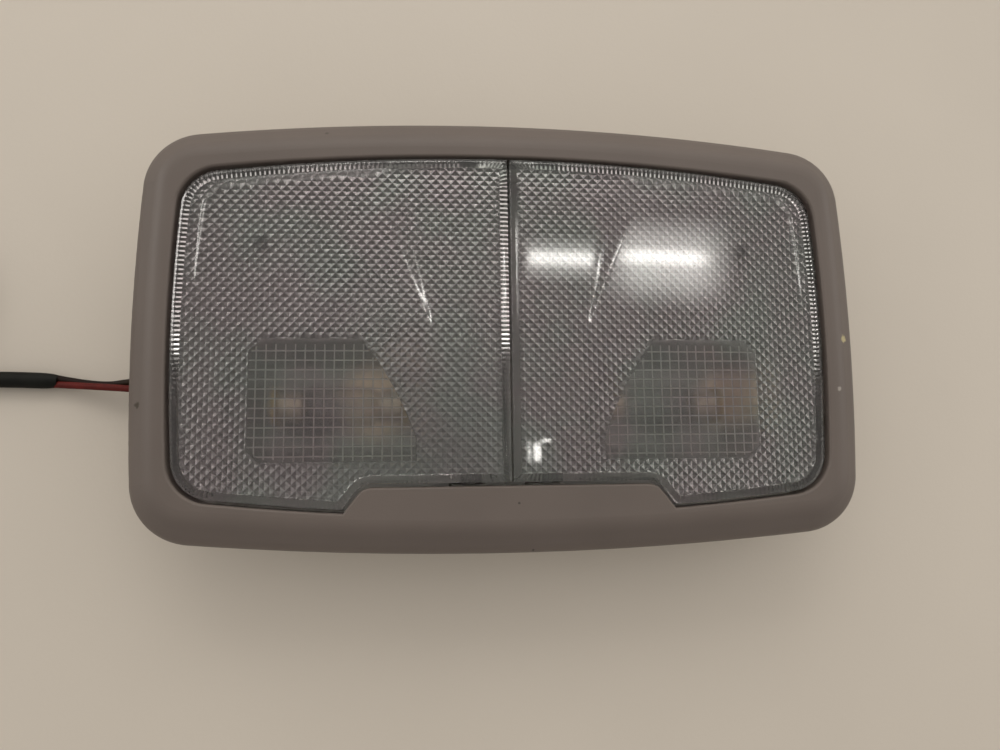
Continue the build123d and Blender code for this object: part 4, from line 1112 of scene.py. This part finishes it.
class DomeLightLensSettings(bpy.types.PropertyGroup):
    """Sizes and finish of the two push-lenses."""

    pitch: FloatProperty(
        name="Pattern Pitch",
        description="Distance between two bumps in a row",
        default=0.00233,
        **LENGTH,
    )
    grid_pitch: FloatProperty(
        name="Grid Pitch",
        description="Distance between two of the window's lines",
        default=0.0022,
        **LENGTH,
    )
    tip_depth: FloatProperty(
        name="Bump Depth",
        description="Height of the small pyramids under the lens",
        default=0.0006,
        **LENGTH,
    )
    flute_pitch: FloatProperty(
        name="Flute Pitch",
        description="Distance between two flutes along the rim",
        default=0.0011,
        **LENGTH,
    )
    flute_depth: FloatProperty(
        name="Flute Depth",
        description="Height of the rim's flutes",
        default=0.00042,
        **LENGTH,
    )
    groove_depth: FloatProperty(
        name="Grid Depth",
        description="Height of the window's grid lines",
        default=0.0001,
        **LENGTH,
    )
    tint: FloatVectorProperty(
        name="Tint",
        description="Colour of the clear plastic",
        default=(0.74, 0.735, 0.735),
        **COLOUR,
    )
    haze: FloatVectorProperty(
        name="Pattern Colour",
        description="Colour of the patterned underside",
        default=(0.40, 0.39, 0.395),
        **COLOUR,
    )
    haze_share: FloatProperty(
        name="Pattern Haze",
        description="How far the bumps scatter light instead of letting it through",
        default=0.25,
        **SHARE,
    )
    roughness: FloatProperty(
        name="Roughness",
        description="Roughness of the clear plastic",
        default=0.03,
        **SHARE,
    )


class DomeLightShellSettings(bpy.types.PropertyGroup):
    """Colours of the bezel, the housing and what they hold."""

    bezel: FloatVectorProperty(
        name="Bezel",
        description="Colour of the bezel's satin plastic",
        default=(0.135, 0.110, 0.097),
        **COLOUR,
    )
    housing: FloatVectorProperty(
        name="Housing",
        description="Colour of the housing's plastic",
        default=(0.50, 0.48, 0.45),
        **COLOUR,
    )
    reflector: FloatVectorProperty(
        name="Reflector",
        description="Colour of the metallised reflectors",
        default=(0.34, 0.33, 0.316),
        **COLOUR,
    )


class DomeLightLeadSettings(bpy.types.PropertyGroup):
    """Colours of the lead."""

    red: FloatVectorProperty(
        name="Red Wire",
        description="Colour of the red insulation",
        default=(0.082, 0.009, 0.007),
        **COLOUR,
    )
    dark: FloatVectorProperty(
        name="Dark Wire",
        description="Colour of the dark insulation",
        default=(0.010, 0.0045, 0.003),
        **COLOUR,
    )
    sheath: FloatVectorProperty(
        name="Sheath",
        description="Colour of the outer sheath",
        default=(0.003, 0.0032, 0.0022),
        **COLOUR,
    )


class DomeLightStageSettings(bpy.types.PropertyGroup):
    """Floor and light."""

    floor: FloatVectorProperty(
        name="Floor",
        description="Colour of the floor",
        default=(0.60, 0.545, 0.475),
        **COLOUR,
    )
    sky: FloatProperty(
        name="Soft Light",
        description="Strength of the even light all round",
        default=1.11,
        min=0.0,
    )
    tube: FloatProperty(
        name="Tube Light",
        description="Strength of the long lamps that the lenses mirror",
        default=1.0,
        min=0.0,
    )


# Lead


def smooth_cord(name, points, diameter, tip=1.0):
    """A round cord along one smooth open spline, its first end drawn in to a share."""
    curve = bpy.data.curves.new(name, "CURVE")
    curve.dimensions = "3D"
    curve.bevel_depth = diameter / 2
    curve.bevel_resolution = CORD_ROUND_STEPS
    curve.resolution_u = CORD_STEPS
    curve.use_fill_caps = True
    spline = curve.splines.new("NURBS")
    spline.points.add(len(points) - 1)
    for control, place in zip(spline.points, points):
        control.co = (*place, 1.0)
    spline.points[0].radius = tip
    spline.order_u = CORD_ORDER
    spline.use_endpoint_u = True
    return new_object(name, curve)


def coil_points():
    """The coil's turns as spline points, from the lead-in round to the tail."""
    count = round(COIL_TURNS * COIL_POINTS_PER_TURN)
    reach = COIL_RADIUS / math.cos(math.pi / COIL_POINTS_PER_TURN) ** COIL_CUT_SHARE
    places = []
    climb_start, climb_end = COIL_CLIMB
    for step in range(1, count):
        turn = step / COIL_POINTS_PER_TURN
        angle = -math.pi / 2 - 2 * math.pi * turn
        share = min(max((turn - climb_start) / (climb_end - climb_start), 0.0), 1.0)
        rise = COIL_LIFT * share * share * (3 - 2 * share)
        x = COIL_CENTRE[0] + reach * math.cos(angle)
        y = COIL_CENTRE[1] + reach * math.sin(angle)
        places.append((x, y, COIL_Z + rise))
    return places


# Operators


class DOMELIGHT_OT_camera(bpy.types.Operator):
    """Set the camera over the lenses"""

    bl_idname = "domelight.camera"
    bl_label = "Camera"

    def execute(self, context):
        camera = bpy.data.cameras.new("Camera")
        camera.lens = CAMERA_LENS
        camera.sensor_width = CAMERA_SENSOR
        camera.clip_start = CAMERA_NEAR
        viewer = bpy.data.objects.new("Camera", camera)
        context.scene.collection.objects.link(viewer)
        forward = Vector(CAMERA_FORWARD).normalized()
        right = forward.cross(Vector(CAMERA_UP)).normalized()
        viewer.matrix_world = facing(Vector(CAMERA_PLACE) * MM, forward, right)
        context.scene.camera = viewer
        return {"FINISHED"}


class DOMELIGHT_OT_lead(bpy.types.Operator):
    """Make the two wires and the sheathed lead with its coil"""

    bl_idname = "domelight.lead"
    bl_label = "Lead"

    def execute(self, context):
        colours = context.scene.dome_light_lead
        for node, route, length, colour, name in (
            ("red_wire", RED_ROUTE, RED_WIRE_LENGTH, colours.red, "lead_red_wire"),
            ("black_wire", DARK_ROUTE, DARK_WIRE_LENGTH, colours.dark, "lead_dark_wire"),
        ):
            wire = smooth_cord(name, metres(route), WIRE_DIAMETER * MM)
            insulation = finish(f"{name}_insulation", colour)
            if node == "black_wire":
                tree = insulation.node_tree
                where = add_node(tree, "ShaderNodeTexCoord")
                split = add_node(tree, "ShaderNodeSeparateXYZ")
                tree.links.new(where.outputs["Object"], split.inputs["Vector"])
                run = (place * MM for place in OLIVE_RUN)
                paint_over(insulation, smooth_rise(tree, split.outputs["X"], *run), OLIVE)
            dress(wire, insulation)
            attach(wire, "base")
            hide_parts(node)
        route = (*SHEATH_ROUTE, *coil_points(), *TAIL_ROUTE)
        sheath = smooth_cord("lead_sheath", metres(route), SHEATH_DIAMETER * MM, SHEATH_TIP)
        dress(sheath, finish("sheath_rubber", colours.sheath))
        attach(sheath, "base")
        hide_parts("cable_sheath", "cable_coil", "cable_tail")
        return {"FINISHED"}


class DOMELIGHT_OT_stage(bpy.types.Operator):
    """Set the floor and the lights"""

    bl_idname = "domelight.stage"
    bl_label = "Stage"

    def execute(self, context):
        settings = context.scene.dome_light_stage
        shape = bmesh.new()
        bmesh.ops.create_grid(shape, x_segments=1, y_segments=1, size=FLOOR_HALF)
        floor = new_object("stage_floor", close_mesh(shape, "stage_floor"))
        dress(floor, finish("floor_paper", settings.floor))
        world = bpy.data.worlds.new("SoftLight")
        context.scene.world = world
        world.use_nodes = True
        self.light_room(world.node_tree, settings.sky)
        for name, place, size, glow, fade in (ROOM_LAMP, *MIRRORED_LAMPS):
            lamp = bpy.data.lights.new(name, "AREA")
            lamp.shape = "RECTANGLE"
            lamp.size, lamp.size_y = size
            lamp.energy = settings.tube * glow * math.pi * size[0] * size[1]
            lamp.color = LAMP_COLOUR
            self.fade_lamp(lamp, fade)
            holder = bpy.data.objects.new(name, lamp)
            holder.visible_camera = False
            if name != ROOM_LAMP[0]:
                holder.visible_diffuse = False
                holder.visible_transmission = False
            context.scene.collection.objects.link(holder)
            look = (Vector(TUBE_AIM) - Vector(place)).normalized()
            side = Vector((1.0, 0.0, 0.0))
            side = (side - look * side.dot(look)).normalized()
            holder.matrix_world = facing(place, look, side)
        context.scene.view_settings.view_transform = "Standard"
        return {"FINISHED"}

    def fade_lamp(self, lamp, fade):
        """Dims a lamp towards its edges."""
        lamp.use_nodes = True
        tree = lamp.node_tree
        where = add_node(tree, "ShaderNodeNewGeometry")
        split = add_node(tree, "ShaderNodeSeparateXYZ")
        tree.links.new(where.outputs["Parametric"], split.inputs["Vector"])
        level = None
        for axis, width in zip("XY", fade):
            for start, end in ((0.0, width), (1.0, 1.0 - width)):
                slope = smooth_rise(tree, split.outputs[axis], start, end)
                level = slope if level is None else combine(tree, "MULTIPLY", level, slope)
        tree.links.new(level, tree.nodes["Emission"].inputs["Strength"])

    def light_room(self, tree, strength):
        """Even light, dimmer overhead and towards the lower edge."""
        sky = tree.nodes["Background"]
        where = add_node(tree, "ShaderNodeTexCoord")
        overhead = add_node(tree, "ShaderNodeVectorMath", operation="DOT_PRODUCT")
        overhead.inputs[1].default_value = Vector(DIM_TOWARDS).normalized()
        tree.links.new(where.outputs["Generated"], overhead.inputs[0])
        level = ramp_between(tree, overhead.outputs["Value"], ROOM_LEVELS)
        tree.links.new(level, sky.inputs["Color"])
        sky.inputs["Strength"].default_value = strength


class DOMELIGHT_OT_lenses(bpy.types.Operator):
    """Make the two clear push-lenses with their patterned undersides"""

    bl_idname = "domelight.lenses"
    bl_label = "Lenses"

    def execute(self, context):
        settings = context.scene.dome_light_lens
        plastics = (
            clear_plastic("lens_clear_plastic", settings.tint, settings.roughness),
            clear_plastic("lens_bump_plastic", settings.haze, BUMP_ROUGHNESS, settings.haze_share),
            clear_plastic("lens_window_plastic", WINDOW_TINT, WINDOW_ROUGHNESS, WINDOW_HAZE),
            clear_plastic("lens_rib_plastic", RIB_TINT, RIB_ROUGHNESS, RIB_HAZE),
        )
        tree, sockets = pattern_tree()
        for name, side in SIDES:
            moulding = lens_moulding(
                settings.pitch / MM, settings.grid_pitch / MM, settings.flute_pitch / MM, side < 0
            )
            lens = new_object(f"lens_{name}_moulding", moulding.mesh(f"lens_{name}_moulding", side))
            pattern = lens.modifiers.new("Pattern", "NODES")
            pattern.node_group = tree
            pattern[sockets["Tip Depth"]] = settings.tip_depth
            pattern[sockets["Flute Depth"]] = settings.flute_depth
            pattern[sockets["Groove Depth"]] = settings.groove_depth
            for label, plastic in zip(FIELD_MATERIALS, plastics):
                pattern[sockets[label]] = plastic
            settle(lens)
            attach(lens, f"{name}_lens")
            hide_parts(f"lens_{name}")
        return {"FINISHED"}


class DOMELIGHT_OT_lens_fittings(bpy.types.Operator):
    """Make the lenses' hinge lugs, pins, hooks and switch posts"""

    bl_idname = "domelight.lens_fittings"
    bl_label = "Lens Fittings"

    def execute(self, context):
        settings = context.scene.dome_light_lens
        tint = shade(settings.tint, FITTING_SHADE)
        plastic = clear_plastic("lens_fitting_plastic", tint, FITTING_ROUGHNESS)
        top = outline_circles(OPENING_HALF, OPENING_TOP, OPENING_BOTTOM)[0]
        upper = top[0][1] + math.sqrt(top[1] ** 2 - HINGE_X**2) - LENS_GAP
        lower = TAB_TOP_Y + LENS_GAP
        ceiling = LENS_TOP_Z - LENS_WALL
        for name, side in SIDES:
            shape = bmesh.new()
            lug = (side * HINGE_X - LUG_WIDTH / 2, side * HINGE_X + LUG_WIDTH / 2)
            for edge, inward in ((upper, -1), (lower, 1)):
                back = sorted((edge, edge + inward * LUG_THICKNESS))
                add_block(shape, (lug[0], back[0], LUG_FOOT_Z), (lug[1], back[1], ceiling))
                tip = edge - inward * PIN_REACH
                root = edge + inward * LUG_THICKNESS / 2
                add_pin(
                    shape, (side * HINGE_X, root, HINGE_Z), (side * HINGE_X, tip, HINGE_Z),
                    HINGE_PIN_RADIUS,
                )
            wall = OPENING_HALF - LENS_GAP
            reach = sorted((side * (wall - LENS_SKIRT_WALL), side * wall))
            add_block(shape, (reach[0], -HOOK_HALF, HOOK_FOOT_Z), (reach[1], HOOK_HALF, LENS_SKIRT_Z))
            reach = sorted((side * wall, side * HOOK_OUT_X))
            add_block(shape, (reach[0], -HOOK_HALF, HOOK_FOOT_Z), (reach[1], HOOK_HALF, HOOK_TOP_Z))
            x, y = SWITCH_PLACE
            add_pin(shape, (side * x, y, POST_TIP_Z), (side * x, y, under_height(x)), POST_RADIUS)
            part = new_object(f"lens_{name}_fittings", close_mesh(shape, f"lens_{name}_fittings"))
            edge = part.modifiers.new("Edges", "BEVEL")
            edge.width = FITTING_ROUND * MM
            edge.segments = FITTING_ROUND_STEPS
            edge.limit_method = "ANGLE"
            dress(part, plastic)
            settle(part)
            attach(part, f"{name}_lens")
        return {"FINISHED"}


class DOMELIGHT_OT_shell(bpy.types.Operator):
    """Finish the bezel, the housing, the grommet and the screws"""

    bl_idname = "domelight.shell"
    bl_label = "Bezel And Housing"

    def execute(self, context):
        colours = context.scene.dome_light_shell
        satin = finish("bezel_satin_plastic", colours.bezel)
        paint_spots(satin, WEAR_SPOTS)
        dress_node("bezel", satin)
        dress_node("housing", finish("housing_plastic", colours.housing))
        dress_node("housing_screws", finish("screw_zinc"))
        dress_node("cable_grommet", finish("grommet_rubber"))
        return {"FINISHED"}


class DOMELIGHT_OT_lamps(bpy.types.Operator):
    """Finish the reflectors, bulbs, brass strips and switches"""

    bl_idname = "domelight.lamps"
    bl_label = "Lamps And Switches"

    def execute(self, context):
        silver = finish("reflector_metallised", context.scene.dome_light_shell.reflector)
        # Paints highlights (bright tan spots) and shade (dark spots) into the reflectors' bowls
        paint_spots(silver, REFLECTOR_PAINTED_LIGHT_SPOTS)
        brass = finish("strip_brass")
        for part, material in (
            ("reflector", silver),
            ("bulb_caps", finish("bulb_nickel")),
            ("switched_strip", brass),
            ("switch_body", finish("switch_case")),
            ("switch_plunger", finish("switch_plunger")),
            ("bulb_glass", clear_plastic("bulb_clear_glass", BULB_GLASS_TINT, BULB_GLASS_ROUGHNESS)),
        ):
            for name, _ in SIDES:
                dress_node(f"{part}_{name}", material)
        for strip in ("feed_strip", "earth_strip"):
            dress_node(strip, brass)
        return {"FINISHED"}


def filament_tree():
    """A wire wound into a straight coil, with a lead at each end."""
    tree, sockets, given = node_group(
        "FilamentCoil",
        (
            ("Length", "Distance"),
            ("Coil Radius", "Distance"),
            ("Wire Radius", "Distance"),
            ("Turns", "Float"),
            ("Start", "Vector"),
            ("Coil Start", "Vector"),
            ("Coil End", "Vector"),
            ("End", "Vector"),
            ("Material", "Material"),
        ),
    )
    spiral = add_node(tree, "GeometryNodeCurveSpiral")
    spiral.inputs["Resolution"].default_value = FILAMENT_STEPS
    lay = add_node(tree, "GeometryNodeTransform")
    lay.inputs["Rotation"].default_value = (0.0, math.pi / 2, 0.0)
    raise_axis = add_node(tree, "ShaderNodeVectorMath", operation="ADD")
    offset = add_node(tree, "ShaderNodeCombineXYZ")
    join = add_node(tree, "GeometryNodeJoinGeometry")
    profile = add_node(tree, "GeometryNodeCurvePrimitiveCircle")
    profile.inputs["Resolution"].default_value = FILAMENT_SIDES
    sweep = add_node(tree, "GeometryNodeCurveToMesh")
    sweep.inputs["Fill Caps"].default_value = True
    realize = add_node(tree, "GeometryNodeRealizeInstances")
    paint = add_node(tree, "GeometryNodeSetMaterial")
    out = add_node(tree, "NodeGroupOutput")
    link = tree.links.new
    link(given.outputs["Turns"], spiral.inputs["Rotations"])
    link(given.outputs["Coil Radius"], spiral.inputs["Start Radius"])
    link(given.outputs["Coil Radius"], spiral.inputs["End Radius"])
    link(given.outputs["Length"], spiral.inputs["Height"])
    link(given.outputs["Coil Radius"], offset.inputs["Z"])
    link(given.outputs["Coil Start"], raise_axis.inputs[0])
    link(offset.outputs["Vector"], raise_axis.inputs[1])
    link(spiral.outputs["Curve"], lay.inputs["Geometry"])
    link(raise_axis.outputs["Vector"], lay.inputs["Translation"])
    link(lay.outputs["Geometry"], join.inputs["Geometry"])
    for start, end in (("Start", "Coil Start"), ("Coil End", "End")):
        lead = add_node(tree, "GeometryNodeCurvePrimitiveLine")
        link(given.outputs[start], lead.inputs["Start"])
        link(given.outputs[end], lead.inputs["End"])
        link(lead.outputs["Curve"], join.inputs["Geometry"])
    link(given.outputs["Wire Radius"], profile.inputs["Radius"])
    link(join.outputs["Geometry"], sweep.inputs["Curve"])
    link(profile.outputs["Curve"], sweep.inputs["Profile Curve"])
    link(sweep.outputs["Mesh"], realize.inputs["Geometry"])
    link(realize.outputs["Geometry"], paint.inputs["Geometry"])
    link(given.outputs["Material"], paint.inputs["Material"])
    link(paint.outputs["Geometry"], out.inputs["Geometry"])
    return tree, sockets


class DOMELIGHT_OT_filaments(bpy.types.Operator):
    """Wind the bulbs' filaments"""

    bl_idname = "domelight.filaments"
    bl_label = "Bulb Filaments"

    def execute(self, context):
        tungsten = finish("filament_tungsten")
        tree, sockets = filament_tree()
        half = FILAMENT_LENGTH / 2
        for name, side in SIDES:
            middle = Vector((side * BULB_PLACE[0], *BULB_PLACE[1:]))
            coil = new_object(f"bulb_{name}_filament", bpy.data.meshes.new(f"bulb_{name}_filament"))
            wind = coil.modifiers.new("Coil", "NODES")
            wind.node_group = tree
            wind[sockets["Length"]] = FILAMENT_LENGTH * MM
            wind[sockets["Coil Radius"]] = FILAMENT_RADIUS * MM
            wind[sockets["Wire Radius"]] = FILAMENT_WIRE_RADIUS * MM
            wind[sockets["Turns"]] = float(FILAMENT_TURNS)
            wind[sockets["Material"]] = tungsten
            for label, x, z in (
                ("Start", -FILAMENT_LEAD_REACH, 0.0),
                ("Coil Start", -half, -FILAMENT_RADIUS),
                ("Coil End", half, -FILAMENT_RADIUS),
                ("End", FILAMENT_LEAD_REACH, 0.0),
            ):
                wind[sockets[label]] = tuple((middle + Vector((x, 0.0, z))) * MM)
            settle(coil)
            for facet in coil.data.polygons:
                facet.use_smooth = True
            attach(coil, "base")
            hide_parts(f"bulb_filament_{name}")
        return {"FINISHED"}


class DOMELIGHT_OT_connector(bpy.types.Operator):
    """Finish the lead's connector and tie"""

    bl_idname = "domelight.connector"
    bl_label = "Connector And Tie"

    def execute(self, context):
        dress_node("cable_connector", finish("connector_nylon"))
        dress_node("cable_tie", finish("tie_nylon"))
        return {"FINISHED"}


class DOMELIGHT_PT_panel(bpy.types.Panel):
    """Settings and steps of the dome light"""

    bl_idname = "DOMELIGHT_PT_panel"
    bl_label = "Dome Light"
    bl_space_type = "VIEW_3D"
    bl_region_type = "UI"
    bl_category = "Dome Light"

    def draw(self, context):
        scene = context.scene
        for group in (
            scene.dome_light_lens,
            scene.dome_light_shell,
            scene.dome_light_lead,
            scene.dome_light_stage,
        ):
            box = self.layout.box()
            for name in group.__annotations__:
                box.prop(group, name)
        for step in STEPS:
            self.layout.operator(step.bl_idname)


GROUPS = {
    "dome_light_lens": DomeLightLensSettings,
    "dome_light_shell": DomeLightShellSettings,
    "dome_light_lead": DomeLightLeadSettings,
    "dome_light_stage": DomeLightStageSettings,
}
STEPS = (
    DOMELIGHT_OT_camera,
    DOMELIGHT_OT_lead,
    DOMELIGHT_OT_stage,
    DOMELIGHT_OT_lenses,
    DOMELIGHT_OT_lens_fittings,
    DOMELIGHT_OT_shell,
    DOMELIGHT_OT_lamps,
    DOMELIGHT_OT_filaments,
    DOMELIGHT_OT_connector,
)
CLASSES = (*GROUPS.values(), *STEPS, DOMELIGHT_PT_panel)


def register():
    for item in CLASSES:
        bpy.utils.register_class(item)
    for name, group in GROUPS.items():
        setattr(bpy.types.Scene, name, PointerProperty(type=group))


def unregister():
    for name in GROUPS:
        delattr(bpy.types.Scene, name)
    for item in reversed(CLASSES):
        bpy.utils.unregister_class(item)


def main():
    register()
    for step in STEPS:
        group, name = step.bl_idname.split(".")
        getattr(getattr(bpy.ops, group), name)()


if __name__ == "__main__":
    main()
